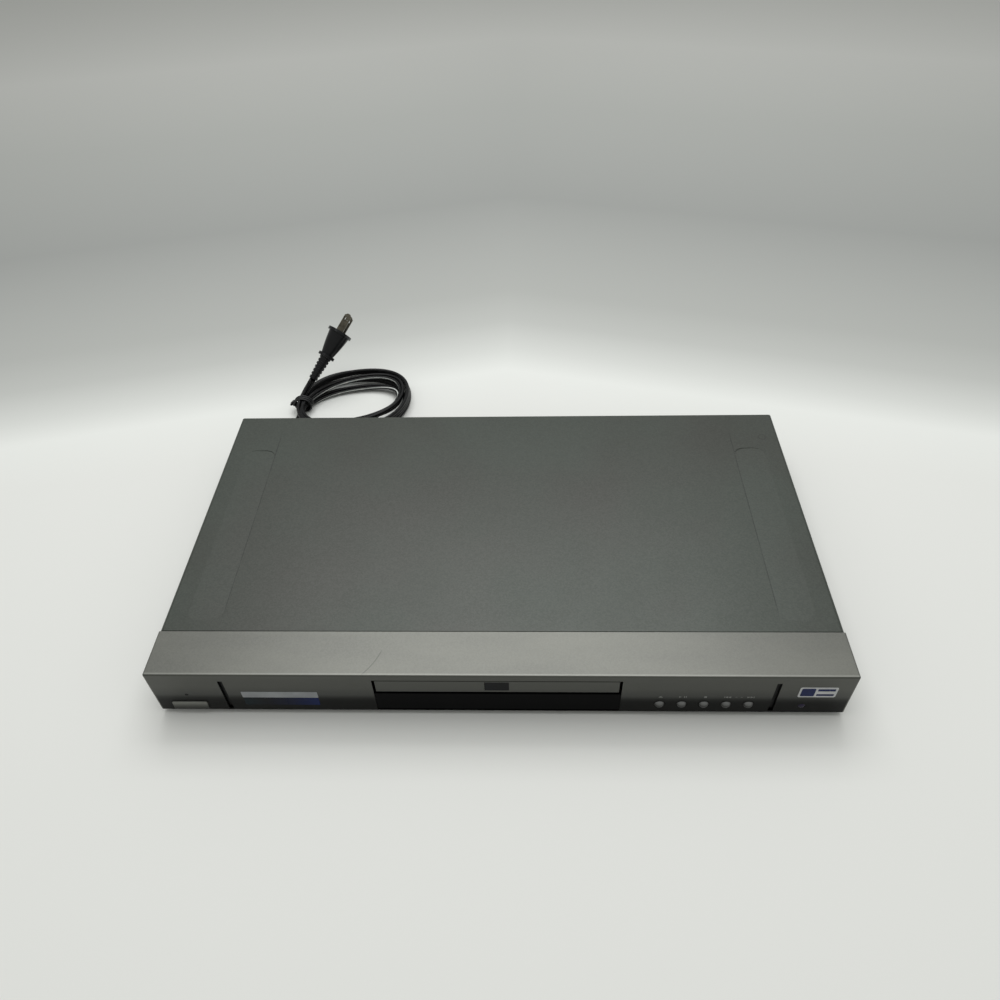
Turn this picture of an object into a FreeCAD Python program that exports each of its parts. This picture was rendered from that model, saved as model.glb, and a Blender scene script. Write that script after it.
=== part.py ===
import FreeCAD, Part
import math
import os

V = FreeCAD.Vector

# DVD player with a sliding tray, in millimetres.
# +Z is up, +X is to the right as seen from the front, and the front faces -Y.
# The origin lies on the ground, under the middle of the player without its lead.
# A "depth" below is a distance behind the front face, and a "height" is above the ground.

# Casing
overall_width = 430.0
casing_depth = 245.0
band_depth = 32.5
panel_wall = 2.2
face_wall = 2.5
panel_edge_round = 1.2
seam_gap = 0.5
cover_inset = 0.5
cover_sheet = 0.8
cover_bend = 2.5
cover_lip = 9.0
cover_tongue = 7.0
tongue_inset = 10.0
slip_fit = 0.1
base_sheet = 1.0
base_flange = 12.0
base_side_gap = 1.3
base_front_depth = 13.2
base_lip = 4.0
base_lip_setback = 1.4
base_lip_inset = 14.0
rear_sheet = 0.8
rear_flange = 5.5

# Pressed side panels in the cover's top
press_depth = 0.5
press_inner_offset = 38.0
press_outer_offset = 15.0
press_front_depth = 41.0
press_rear_offset = 40.0
press_corner = 8.0

# Feet
foot_height = 4.5
foot_radius = 10.0
foot_rim = 1.5
foot_recess = 1.2
foot_peg_radius = 2.5
foot_side_offset = 35.0
foot_front_depth = 30.0
foot_rear_offset = 30.0

# Heights inside, from the base sheet up
standoff_height = 3.5
board_lift = 4.5
frame_floor = 2.0
gear_room = 17.6
tray_thickness = 5.6
bridge_gap = 2.8
bridge_sheet = 1.2
clamper_flange = 1.2
head_room = 2.8

# Tray and its door
tray_half_width = 65.0
tray_travel = 138.0
spindle_depth = 88.0
disc_recess_radius = 60.6
disc_recess_depth = 3.6
small_recess_radius = 40.6
small_recess_depth = 1.0
pickup_slot_half = 21.0
rail_reach = 3.5
rail_height = 2.0
rail_lift = 1.0
rail_gap = 0.3
tray_side_gap = 1.0
door_half_width = 74.4
door_thickness = 3.2
door_below_tray = 2.9
door_above_tray = 3.3
door_side_gap = 1.5
door_gap = 0.5
door_round = 0.6
door_plate_width = 15.0
door_plate_height = 8.8
door_plate_depth = 0.3
rack_body = 4.8
tray_wall = 1.6

# Front panel details
window_sill = 0.7
window_thickness = 1.8
window_setback = 0.4
window_step = 1.9
window_step_setback = 1.4
groove_side_offset = 45.9
groove_width = 3.0
groove_cut = 1.2
groove_top_offset = 6.7
groove_foot = 1.5
power_side_offset = 20.8
power_height = 9.8
power_width = 22.5
power_tall = 7.5
power_proud = 0.8
power_corner = 1.2
lamp_side_offset = 21.4
lamp_height = 21.4
lamp_radius = 1.0
button_last_offset = 60.6
button_pitch = 13.6
button_count = 5
button_height = 13.0
button_radius = 3.0
button_proud = 1.8
button_gap = 0.25
button_flange = 1.2
button_flange_sheet = 1.0
button_seat_gap = 0.1
button_travel = 0.7
plunger_radius = 1.6
switch_body = 6.0
switch_deep = 3.5
switch_plunger = 0.6
switch_free = 0.05
remote_side_offset = 27.9
remote_height = 11.6
remote_radius = 2.3

# Flat cable from the front board to the main board
ribbon_width = 20.0
ribbon_sheet = 0.4
ribbon_bend = 2.5
ribbon_gap = 0.6
ribbon_plug_lift = 10.0
ribbon_plug_deep = 3.4

# Front board and display
front_board_depth = 12.0
board_sheet = 1.6
front_board_lift = 1.3
front_board_height = 17.0
front_board_side_gap = 5.0
display_half_width = 45.0
display_height = 12.0
display_glass = 5.6

# Loader frame
frame_front_depth = 16.0
frame_wall = 6.0
frame_rear_strip = 4.0
frame_opening_half = 41.0
frame_opening_front = 57.0
frame_behind_tray = 11.0
frame_behind_pivot = 10.2
frame_pocket_deep = 3.2
frame_pocket_count = 6
frame_rib = 3.0
loader_foot_x = 59.0
loader_foot_inset = 8.0

# Gears
loading_gear_x = 41.0
loading_gear_depth = 32.0
rack_module = 1.0
rack_gear_teeth = 28
train_module = 0.8
train_gear_teeth = 36
pinion_teeth = 14
pressure_angle = 20.0
addendum = 0.95
dedendum = 1.2
backlash = 0.2
gear_lift = 2.3
train_face = 3.4
gear_hub_radius = 6.0
gear_post_radius = 1.92
gear_bore_radius = 2.0
gear_shoulder = 4.0
gear_seat_gap = 0.3
pulley_radius = 12.0
motor_pulley_radius = 5.0
pulley_face = 2.6
pulley_lift = 7.0
belt_section = 1.0
belt_gap = 0.25
groove_depth = 1.3
motor_x = -18.0
motor_radius = 8.0
motor_shaft_radius = 0.75

# Cam slider and traverse
cam_travel = 16.0
tilt_angle = 3.0
cam_sheet = 2.5
cam_depth = 50.5
cam_pin_x = -12.0
cam_pin_radius = 1.5
cam_pin_gap = 0.3
cam_left_x = -34.0
cam_right_x = 24.0
cam_tall = 13.2
pivot_lift = 5.0
pivot_radius = 2.0
pivot_bore_gap = 0.08
traverse_half_width = 36.0
traverse_sheet = 2.0
traverse_lift = 9.0
traverse_front_depth = 58.0
traverse_rear_strip = 5.0
traverse_pivot_gap = 4.0
traverse_rim = 4.0
traverse_left_x = -40.0
sled_window_left = -36.5
sled_window_right = 31.5
sled_front_gap = 1.0
sled_rear_gap = 3.0
rod_x = 24.0
rod_radius = 1.5
rod_bore_gap = 0.06
sled_first_radius = 23.0
sled_travel = 36.0
sled_length = 26.0
sled_half_width = 20.0
sled_tall = 6.5
screw_x = -32.0
screw_radius = 1.5
screw_length = 54.0
sled_motor_radius = 4.0
lens_square = 11.0
lens_focus = 0.4
spindle_motor_radius = 12.5
spindle_motor_tall = 8.5
spindle_flange = 1.5
turntable_radius = 14.5
turntable_sheet = 1.5
turntable_hub_radius = 7.4
turntable_hub_tall = 2.2
disc_lift = 1.8
clamper_radius = 13.5
clamper_flange_radius = 17.5
clamper_gap = 0.3
bridge_half_depth = 21.0
bridge_pad = 1.0
grommet_radius = 3.6
grommet_bore = 1.4
grommet_tall = 1.6
grommet_inset = 6.0
grommet_setback = 10.0

# Boards, jacks and the rear
board_side_gap = 6.0
board_loader_gap = 8.0
board_front_depth = 70.0
board_rear_gap = 1.4
board_arm_front_gap = 6.0
board_arm_left_x = -60.0
jack_height = 22.0
jack_reach = 8.5
barrel_radius = 4.15
barrel_seat_radius = 4.4
barrel_seat_gap = 0.05
barrel_end_round = 0.5
barrel_bore = 1.65
barrel_bore_deep = 2.0
jack_collar_reach = 0.6
jack_floor = 2.0
jack_housing_half = 5.2
jack_housing_deep = 13.0
jack_collar_radius = 5.3
jack_pitch = 14.0
jack_gap = 0.3
component_first_offset = 175.0
video_offset = 119.0
audio_offset = 91.0
super_video_offset = 69.0
coaxial_offset = 47.0
optical_offset = 29.0
slot_width = 2.2
slot_height = 14.0
slot_pitch = 6.0
rear_slot_count = 12
rear_slot_first_offset = 65.0

# Lead, coil and plug
lead_radius = 3.0
lead_side_offset = 21.0
lead_height = 14.0
bush_hole = 5.6
bush_flange = 8.0
bush_tail = 24.0
relief_length = 23.0
relief_end_radius = 5.2
relief_notch_count = 6
relief_notch_first = 2.4
relief_notch_pitch = 3.4
relief_notch_width = 1.3
relief_notch_cut = 0.7
plug_length = 26.0
plug_collar_radius = 7.6
plug_collar_sheet = 2.6
plug_flange_sheet = 2.4
blade_seat = 7.0
blade_length = 17.5
blade_width = 6.35
blade_sheet = 1.5
blade_spacing = 12.7
coil_lift = 0.9
coil_side_shift = 5.0
coil_rear_gap = 23.0
coil_width = 100.0
coil_length = 100.0

# Levels worked out from the sizes above
base_top = foot_height + base_sheet
frame_bottom = base_top + standoff_height
frame_top_floor = frame_bottom + frame_floor
tray_bottom = frame_top_floor + gear_room
tray_top = tray_bottom + tray_thickness
bridge_bottom = tray_top + bridge_gap
bridge_top = bridge_bottom + bridge_sheet
cover_under = bridge_top + clamper_flange + head_room
overall_height = cover_under + cover_sheet
board_bottom = base_top + board_lift
board_top = board_bottom + board_sheet
disc_floor = tray_top - disc_recess_depth
door_bottom = tray_bottom - door_below_tray
door_top = tray_top + door_above_tray
half_width = overall_width / 2
cover_half = half_width - cover_inset
base_half = cover_half - cover_sheet - base_side_gap
cover_front_depth = band_depth + seam_gap
rear_face_depth = casing_depth - cover_sheet
rear_inner_depth = rear_face_depth - rear_sheet
front_y = (button_proud - rear_face_depth - jack_reach) / 2
opening_half = door_half_width + door_side_gap
frame_half = tray_half_width + tray_side_gap + frame_wall
lens_depth = spindle_depth + sled_first_radius
sled_window_front = lens_depth - sled_length / 2 - sled_front_gap
sled_window_rear = lens_depth + sled_length / 2 + sled_travel + sled_rear_gap
traverse_rear_depth = sled_window_rear + traverse_rear_strip
pivot_depth = traverse_rear_depth + traverse_pivot_gap
frame_rear_depth = pivot_depth + frame_behind_pivot
tray_length = frame_rear_depth - frame_behind_tray - door_thickness
frame_wall_top = bridge_bottom - bridge_pad
spindle_y = front_y + spindle_depth
lead_x = -half_width + lead_side_offset


def y_at(depth):
    return front_y + depth


def block(x0, x1, depth0, depth1, z0, z1):
    return Part.makeBox(x1 - x0, depth1 - depth0, z1 - z0, V(x0, y_at(depth0), z0))


def upright(x, depth, z0, z1, radius):
    return Part.makeCylinder(radius, z1 - z0, V(x, y_at(depth), z0), V(0, 0, 1))


def rearward(x, z, depth0, depth1, radius):
    return Part.makeCylinder(radius, depth1 - depth0, V(x, y_at(depth0), z), V(0, 1, 0))


def sideways(depth, z, x0, x1, radius):
    return Part.makeCylinder(radius, x1 - x0, V(x0, y_at(depth), z), V(1, 0, 0))


def upright_cone(x, depth, z0, z1, radius0, radius1):
    return Part.makeCone(radius0, radius1, z1 - z0, V(x, y_at(depth), z0), V(0, 0, 1))


def outline_face(points):
    return Part.Face(Part.makePolygon(points + [points[0]]))


def flat_prism(corners, z0, z1):
    """An upright prism on corners given as (x, depth)."""
    points = [V(x, y_at(depth), z0) for x, depth in corners]
    return outline_face(points).extrude(V(0, 0, z1 - z0))


def round_edges(shape, radius, wanted):
    edges = [edge for edge in shape.Edges if wanted(edge)]
    return shape.makeFillet(radius, edges)


def is_along(edge, axis):
    first, last = edge.Vertexes[0].Point, edge.Vertexes[-1].Point
    run = last - first
    return run.Length > 1e-6 and abs(run.normalize().dot(axis)) > 0.999


def rounded_block(x0, x1, depth0, depth1, z0, z1, radius, axis):
    """A block whose four edges along one axis are rounded."""
    return round_edges(block(x0, x1, depth0, depth1, z0, z1), radius, lambda edge: is_along(edge, axis))


def joined(shapes):
    first, *others = shapes
    return first.fuse(others).removeSplitter()


def cut_all(shape, tools):
    return shape.cut(Part.makeCompound(tools))


def group(shapes):
    return Part.makeCompound(shapes)


def both_sides(shape):
    return [shape, shape.mirror(V(0, 0, 0), V(1, 0, 0))]


def hood_face(half, bottom, top, bend, depth):
    """The cover's outline across the player: two sides and a top with bent corners."""
    y = y_at(depth)
    low_left, low_right = V(-half, y, bottom), V(half, y, bottom)
    side_left, side_right = V(-half, y, top - bend), V(half, y, top - bend)
    top_left, top_right = V(-half + bend, y, top), V(half - bend, y, top)
    dip = bend * (1 - math.sqrt(0.5))
    edges = [
        Part.makeLine(low_left, side_left),
        Part.Arc(side_left, V(-half + dip, y, top - dip), top_left).toShape(),
        Part.makeLine(top_left, top_right),
        Part.Arc(top_right, V(half - dip, y, top - dip), side_right).toShape(),
        Part.makeLine(side_right, low_right),
        Part.makeLine(low_right, low_left),
    ]
    return Part.Face(Part.Wire(edges))


def hood(half, top, bend, depth0, depth1):
    bottom = foot_height
    return hood_face(half, bottom, top, bend, depth0).extrude(V(0, depth1 - depth0, 0))


# Screws that close the casing: a pan head and a shank
screw_head_radius = 2.8
screw_head_tall = 1.4
screw_shank_radius = 1.5
screw_hole_gap = 0.1
screw_length_in = 5.0
side_screw_lift = 7.5
side_screw_depths = (62.0, 205.0)
dimple_radius = 6.0
dimple_depth = 1.0
rear_screw_xs = (-150.0, 0.0, 150.0)
rear_screw_drop = 5.2
rear_low_screw_xs = (-110.0, 110.0)
rear_low_screw_lift = 2.8


def rear_screw(x, z, depth):
    head = rearward(x, z, depth, depth + screw_head_tall, screw_head_radius)
    head = round_edges(head, 0.5, lambda edge: edge.CenterOfMass.y > y_at(depth + screw_head_tall) - 0.01)
    shank = rearward(x, z, depth - screw_length_in, depth, screw_shank_radius)
    return joined([head, shank])


def side_screw(depth):
    seat = cover_half - dimple_depth
    z = base_top + side_screw_lift
    head = sideways(depth, z, seat, seat + screw_head_tall, screw_head_radius)
    shank = sideways(depth, z, seat - screw_length_in, seat, screw_shank_radius)
    return joined([head, shank])


def cover_screws():
    shapes = []
    for depth in side_screw_depths:
        shapes += both_sides(side_screw(depth))
    for x in rear_screw_xs:
        shapes.append(rear_screw(x, overall_height - rear_screw_drop, casing_depth))
    for x in rear_low_screw_xs:
        shapes.append(rear_screw(x, base_top + rear_low_screw_lift, rear_face_depth))
    return group(shapes)


def screw_holes_rear(depth0, depth1):
    radius = screw_shank_radius + screw_hole_gap
    top_z = overall_height - rear_screw_drop
    holes = [rearward(x, top_z, depth0, depth1, radius) for x in rear_screw_xs]
    low_z = base_top + rear_low_screw_lift
    return holes + [rearward(x, low_z, depth0, depth1, radius) for x in rear_low_screw_xs]


def screw_holes_side(x0, x1):
    radius = screw_shank_radius + screw_hole_gap
    z = base_top + side_screw_lift
    holes = []
    for depth in side_screw_depths:
        holes += both_sides(sideways(depth, z, x0, x1, radius))
    return holes


def top_cover():
    outer = hood(cover_half, overall_height, cover_bend, cover_front_depth, casing_depth)
    inner_half = cover_half - cover_sheet
    inner = hood(inner_half, cover_under, cover_bend - cover_sheet, cover_front_depth - 1, rear_face_depth)
    rear_room = block(-half_width, half_width, rear_face_depth - 1, casing_depth + 1,
                      foot_height - 1, overall_height - cover_lip)
    low_sides = block(-half_width, half_width, cover_front_depth - 1, casing_depth + 1,
                      foot_height - 1, foot_height + slip_fit)
    cover = cut_all(outer, [inner, low_sides, rear_room.cut(side_sheets())])
    tongue_top = overall_height - panel_wall - slip_fit
    tongue_half = cover_half - tongue_inset
    tongue = block(-tongue_half, tongue_half, cover_front_depth - cover_tongue, cover_front_depth + cover_sheet,
                   tongue_top - cover_sheet, tongue_top)
    riser = block(-tongue_half, tongue_half, cover_front_depth, cover_front_depth + cover_sheet,
                  tongue_top - cover_sheet, cover_under + cover_sheet / 2)
    cover = joined([cover, tongue, riser])
    cover = press_side_panels(cover)
    cover = press_dimples(cover)
    cover = cut_all(cover, screw_holes_rear(rear_face_depth - 1, casing_depth + 1)[:len(rear_screw_xs)])
    return cut_all(cover, screw_holes_side(cover_half - 5, cover_half + 5))


def side_sheets():
    """The cover's two side sheets, which run to the very rear."""
    sheet = block(cover_half - cover_sheet, cover_half, cover_front_depth, casing_depth,
                  foot_height, overall_height)
    return group(both_sides(sheet))


def press_side_panels(cover):
    """Two shallow panels, deepest along their inner edges and flush with the top at their outer ones."""
    inner_x = half_width - press_inner_offset
    outer_x = half_width - press_outer_offset
    rear = casing_depth - press_rear_offset
    top = overall_height
    bottom = top - press_depth
    low, high = bottom - 2 * cover_sheet, top + 1
    outline = rounded_block(inner_x, outer_x, press_front_depth, rear, low, high, press_corner, V(0, 0, 1))
    grown = rounded_block(inner_x - cover_sheet, outer_x + cover_sheet, press_front_depth - cover_sheet,
                          rear + cover_sheet, low, high, press_corner + cover_sheet, V(0, 0, 1))
    above_floor = [(inner_x, bottom), (outer_x, top), (outer_x, high), (inner_x, high)]
    under_floor = [(inner_x - cover_sheet, bottom - cover_sheet), (inner_x, bottom - cover_sheet),
                   (outer_x, top - cover_sheet), (outer_x, top - cover_sheet / 2),
                   (inner_x - cover_sheet, top - cover_sheet / 2)]
    near, far = press_front_depth - cover_sheet, rear + cover_sheet
    sunk = outline.common(side_prism(above_floor, near, far))
    pad = grown.common(side_prism(under_floor, near, far))
    cover = joined([cover] + both_sides(pad))
    return cut_all(cover, both_sides(sunk))


def side_prism(corners, depth0, depth1):
    """A prism along the depth, on an outline of (x, height) corners."""
    face = outline_face([V(x, y_at(depth0), z) for x, z in corners])
    return face.extrude(V(0, depth1 - depth0, 0))


def press_dimples(cover):
    z = base_top + side_screw_lift
    seat = cover_half - dimple_depth
    for depth in side_screw_depths:
        pad = sideways(depth, z, seat - cover_sheet, cover_half - cover_sheet / 2, dimple_radius + cover_sheet)
        dish = sideways(depth, z, seat, cover_half + 1, dimple_radius)
        cover = joined([cover] + both_sides(pad))
        cover = cut_all(cover, both_sides(dish))
    return cover


# Chassis base: beads, slots and standoffs
bead_half = 150.0
bead_width = 8.0
bead_height = 1.2
bead_depths = (52.0, 130.0, 196.0)
base_slot_width = 2.5
base_slot_length = 34.0
base_slot_pitch = 7.0
base_slot_count = 10
base_slot_depth = 150.0
standoff_radius = 4.0
standoff_bore = 1.3
board_standoff_inset = 7.0


def foot_places():
    x = half_width - foot_side_offset
    return [(side * x, depth) for side in (-1, 1)
            for depth in (foot_front_depth, casing_depth - foot_rear_offset)]


def feet():
    shapes = []
    for x, depth in foot_places():
        body = upright_cone(x, depth, 0, foot_height, foot_radius - 1, foot_radius)
        recess = upright(x, depth, -1, foot_recess, foot_radius - 1 - foot_rim)
        peg = upright(x, depth, foot_height, base_top + 1.5, foot_peg_radius)
        shapes.append(joined([body.cut(recess), peg]))
    return group(shapes)


def loader_foot_places():
    front = frame_front_depth + loader_foot_inset
    rear = frame_rear_depth - loader_foot_inset
    return [(side * loader_foot_x, depth) for side in (-1, 1) for depth in (front, rear)]


def board_limits():
    """Left and right edges and front edge of the two boards beside the loader."""
    inner = frame_half + board_loader_gap
    outer = base_half - board_side_gap
    return inner, outer, board_front_depth, rear_inner_depth - board_rear_gap


def board_standoff_places(side):
    inner, outer, front, rear = board_limits()
    inset = board_standoff_inset
    xs = (inner + inset, outer - inset)
    return [(side * x, depth) for x in xs for depth in (front + inset, rear - inset - 12)]


def chassis_base():
    rear = rear_inner_depth
    floor = block(-base_half, base_half, base_front_depth, rear, foot_height, base_top)
    side = block(base_half - base_sheet, base_half, cover_front_depth + 1, rear, foot_height,
                 base_top + base_flange)
    back = block(-base_half, base_half, rear - base_sheet, rear, foot_height, base_top + rear_flange)
    lip = base_front_depth + base_lip_setback
    front = block(-base_half + base_lip_inset, base_half - base_lip_inset, lip, lip + base_sheet,
                  foot_height, base_top + base_lip)
    base = joined([floor, back, front] + both_sides(side))
    for depth in bead_depths:
        hump = rounded_block(-bead_half - base_sheet, bead_half + base_sheet, depth - bead_width / 2 - base_sheet,
                             depth + bead_width / 2 + base_sheet, foot_height, base_top + bead_height,
                             bead_width / 2, V(0, 0, 1))
        channel = rounded_block(-bead_half, bead_half, depth - bead_width / 2, depth + bead_width / 2,
                                foot_height - 1, foot_height + bead_height, bead_width / 2 - 0.5, V(0, 0, 1))
        base = joined([base, hump]).cut(channel)
    posts = [upright(x, depth, base_top - 0.5, frame_bottom, standoff_radius)
             for x, depth in loader_foot_places()]
    for side in (-1, 1):
        posts += [upright(x, depth, base_top - 0.5, board_bottom, standoff_radius)
                  for x, depth in board_standoff_places(side)]
    base = joined([base] + posts)
    holes = [upright(x, depth, foot_height - 1, frame_bottom + 1, standoff_bore + 0.4)
             for x, depth in loader_foot_places()]
    for side in (-1, 1):
        holes += [upright(x, depth, foot_height - 1, board_bottom + 1, standoff_bore + 0.4)
                  for x, depth in board_standoff_places(side)]
    holes += [upright(x, depth, foot_height - 1, base_top + 1, foot_peg_radius + slip_fit)
              for x, depth in foot_places()]
    first_x = -half_width + foot_side_offset + foot_radius + 8
    for index in range(base_slot_count):
        x = first_x + index * base_slot_pitch
        holes.append(block(x, x + base_slot_width, base_slot_depth, base_slot_depth + base_slot_length,
                           foot_height - 1, base_top + 1))
    base = cut_all(base, holes)
    base = cut_all(base, screw_holes_side(base_half - 3, base_half + 3))
    base = base.cut(rearward(lead_x, lead_height, rear - 3, rear + 1, bush_hole + 1.3))
    return cut_all(base, screw_holes_rear(rear - 3, rear + 1)[len(rear_screw_xs):])


def small_screw(x, depth, seat, length, head_radius=2.8, head_tall=1.6, shank=1.25):
    """A self-tapping screw driven down from its seat."""
    head = upright(x, depth, seat, seat + head_tall, head_radius)
    return joined([head, upright(x, depth, seat - length, seat, shank)])


def loader_screws():
    shapes = [small_screw(x, depth, frame_top_floor, frame_floor + standoff_height)
              for x, depth in loader_foot_places()]
    for x, depth in bridge_screw_places():
        shapes.append(small_screw(x, depth, bridge_top, 5.0, 2.3, 1.2, 1.0))
    return group(shapes)


def board_screws():
    places = board_standoff_places(-1) + board_standoff_places(1)
    return group([small_screw(x, depth, board_top, board_sheet + 3.0) for x, depth in places])


# Jacks on the rear
def jack_xs():
    component = [half_width - component_first_offset + index * jack_pitch for index in range(3)]
    video = [half_width - video_offset]
    audio = [half_width - audio_offset - jack_pitch / 2, half_width - audio_offset + jack_pitch / 2]
    coaxial = [half_width - coaxial_offset]
    return component + video + audio + coaxial


socket_half = 7.0
socket_radius = 5.4
socket_wall = 0.9
socket_proud = 1.2
optical_half = 4.8


def rear_panel():
    half = base_half - base_sheet
    panel = block(-half, half, rear_inner_depth, rear_face_depth, base_top + slip_fit, cover_under - slip_fit)
    near, far = rear_inner_depth - 1, rear_face_depth + 1
    holes = [rearward(x, jack_height, near, far, jack_collar_radius + jack_gap) for x in jack_xs()]
    holes.append(rearward(half_width - super_video_offset, jack_height, near, far, socket_radius + jack_gap))
    x = half_width - optical_offset
    reach = optical_half + jack_gap
    holes.append(block(x - reach, x + reach, near, far, jack_height - reach, jack_height + reach))
    holes.append(rearward(lead_x, lead_height, near, far, bush_hole))
    first_x = -half_width + rear_slot_first_offset
    for index in range(rear_slot_count):
        x = first_x + index * slot_pitch
        holes.append(block(x, x + slot_width, near, far, jack_height - slot_height / 2,
                           jack_height + slot_height / 2))
    panel = cut_all(panel, holes)
    return cut_all(panel, screw_holes_rear(near, far))


def jack_housings():
    shapes = []
    for x in jack_xs():
        body = block(x - jack_housing_half, x + jack_housing_half, rear_inner_depth - jack_housing_deep,
                     rear_inner_depth - slip_fit, board_top, jack_height + jack_housing_half)
        collar = rearward(x, jack_height, rear_inner_depth - 1, rear_face_depth + jack_collar_reach,
                          jack_collar_radius)
        bore = rearward(x, jack_height, rear_inner_depth - jack_housing_deep + jack_floor, rear_face_depth + 1,
                        barrel_seat_radius + barrel_seat_gap)
        shapes.append(joined([body, collar]).cut(bore))
    return group(shapes)


def jack_barrels():
    shapes = []
    for x in jack_xs():
        start = rear_inner_depth - jack_housing_deep + jack_floor
        mouth = rear_face_depth + jack_collar_reach
        seat = rearward(x, jack_height, start, mouth, barrel_seat_radius)
        barrel = rearward(x, jack_height, start, rear_face_depth + jack_reach, barrel_radius)
        barrel = round_edges(barrel, barrel_end_round, lambda edge: edge.CenterOfMass.y > y_at(mouth))
        core = rearward(x, jack_height, rear_face_depth - barrel_bore_deep, rear_face_depth + jack_reach + 1,
                        barrel_bore)
        shapes.append(joined([seat, barrel]).cut(core))
    return group(shapes)


def super_video_socket():
    x = half_width - super_video_offset
    body = block(x - socket_half, x + socket_half, rear_inner_depth - jack_housing_deep,
                 rear_inner_depth - slip_fit, board_top, jack_height + socket_half)
    face = rear_face_depth + socket_proud
    collar = rearward(x, jack_height, rear_inner_depth - 1, face, socket_radius)
    ring = rearward(x, jack_height, face - 6, face + 1, socket_radius - socket_wall)
    core = rearward(x, jack_height, face - 7, face + 2, socket_radius - socket_wall - 1.0)
    keyway = block(x - 1.1, x + 1.1, face - 4, face + 1, jack_height - 2.6, jack_height - 1.3)
    contacts = [rearward(x + across, jack_height + up, face - 4, face + 1, 0.55)
                for across, up in ((-1.1, 2.1), (1.1, 2.1), (-2.0, -0.2), (2.0, -0.2))]
    return cut_all(joined([body, collar]), [ring.cut(core), keyway] + contacts)


def optical_socket():
    x = half_width - optical_offset
    body = block(x - optical_half, x + optical_half, rear_inner_depth - jack_housing_deep,
                 rear_inner_depth - slip_fit, board_top, jack_height + optical_half)
    nose = block(x - optical_half, x + optical_half, rear_inner_depth - 1, rear_face_depth + socket_proud,
                 jack_height - optical_half, jack_height + optical_half)
    shutter_half = optical_half - 1.4
    recess = block(x - shutter_half, x + shutter_half, rear_face_depth + socket_proud - 0.8, rear_face_depth + 3,
                   jack_height - shutter_half, jack_height + shutter_half)
    return joined([body, nose]).cut(recess)


def lead_bush():
    """The snap-in bush with its tapered tail, square to the rear panel."""
    bore = lead_radius + 0.02
    neck = rearward(lead_x, lead_height, rear_inner_depth - 5, rear_face_depth, bush_hole - slip_fit)
    flange = rearward(lead_x, lead_height, rear_face_depth, rear_face_depth + 2, bush_flange)
    flange = round_edges(flange, 0.8, lambda edge: edge.CenterOfMass.y > y_at(rear_face_depth + 1.9))
    collar = rearward(lead_x, lead_height, rear_inner_depth - 5, rear_inner_depth - 0.3, bush_hole + 1)
    tail = Part.makeCone(bush_hole, lead_radius + 1.0, bush_tail - 2,
                         V(lead_x, y_at(rear_face_depth + 2), lead_height), V(0, 1, 0))
    bush = joined([neck, flange, collar, tail])
    notches = []
    for index in range(4):
        start = rear_face_depth + 6 + index * 4
        ring = rearward(lead_x, lead_height, start, start + 1.4, bush_flange)
        notches.append(ring.cut(rearward(lead_x, lead_height, start, start + 1.4, bore + 1.1)))
    bush = cut_all(bush, notches)
    tip = rearward(lead_x, lead_height, rear_face_depth + bush_tail - 1, rear_face_depth + bush_tail + 1, bore)
    return bush.cut(tip)


# Front panel
def button_xs():
    last = half_width - button_last_offset
    return [last - (button_count - 1 - index) * button_pitch for index in range(button_count)]


power_x = -half_width + power_side_offset
lamp_x = -half_width + lamp_side_offset
remote_x = half_width - remote_side_offset
front_board_bottom = base_top + front_board_lift
front_board_top = front_board_bottom + front_board_height
front_board_half = half_width - panel_wall - front_board_side_gap
window_bottom = foot_height + window_sill
window_top = door_bottom - door_gap


def front_board_post_places():
    far = front_board_half - 5
    return [(side * x, z) for side in (-1, 1) for x in (far, opening_half + 6)
            for z in (front_board_top - 2.5,)]


def ribbon_left_x():
    inner, outer, front, rear = board_limits()
    return (inner + outer) / 2 - 25


def power_slot(x_gap, depth0, depth1):
    half_w = power_width / 2 + x_gap
    half_t = power_tall / 2 + x_gap
    return rounded_block(power_x - half_w, power_x + half_w, depth0, depth1, power_height - half_t,
                         power_height + half_t, power_corner + x_gap, V(0, 1, 0))


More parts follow.
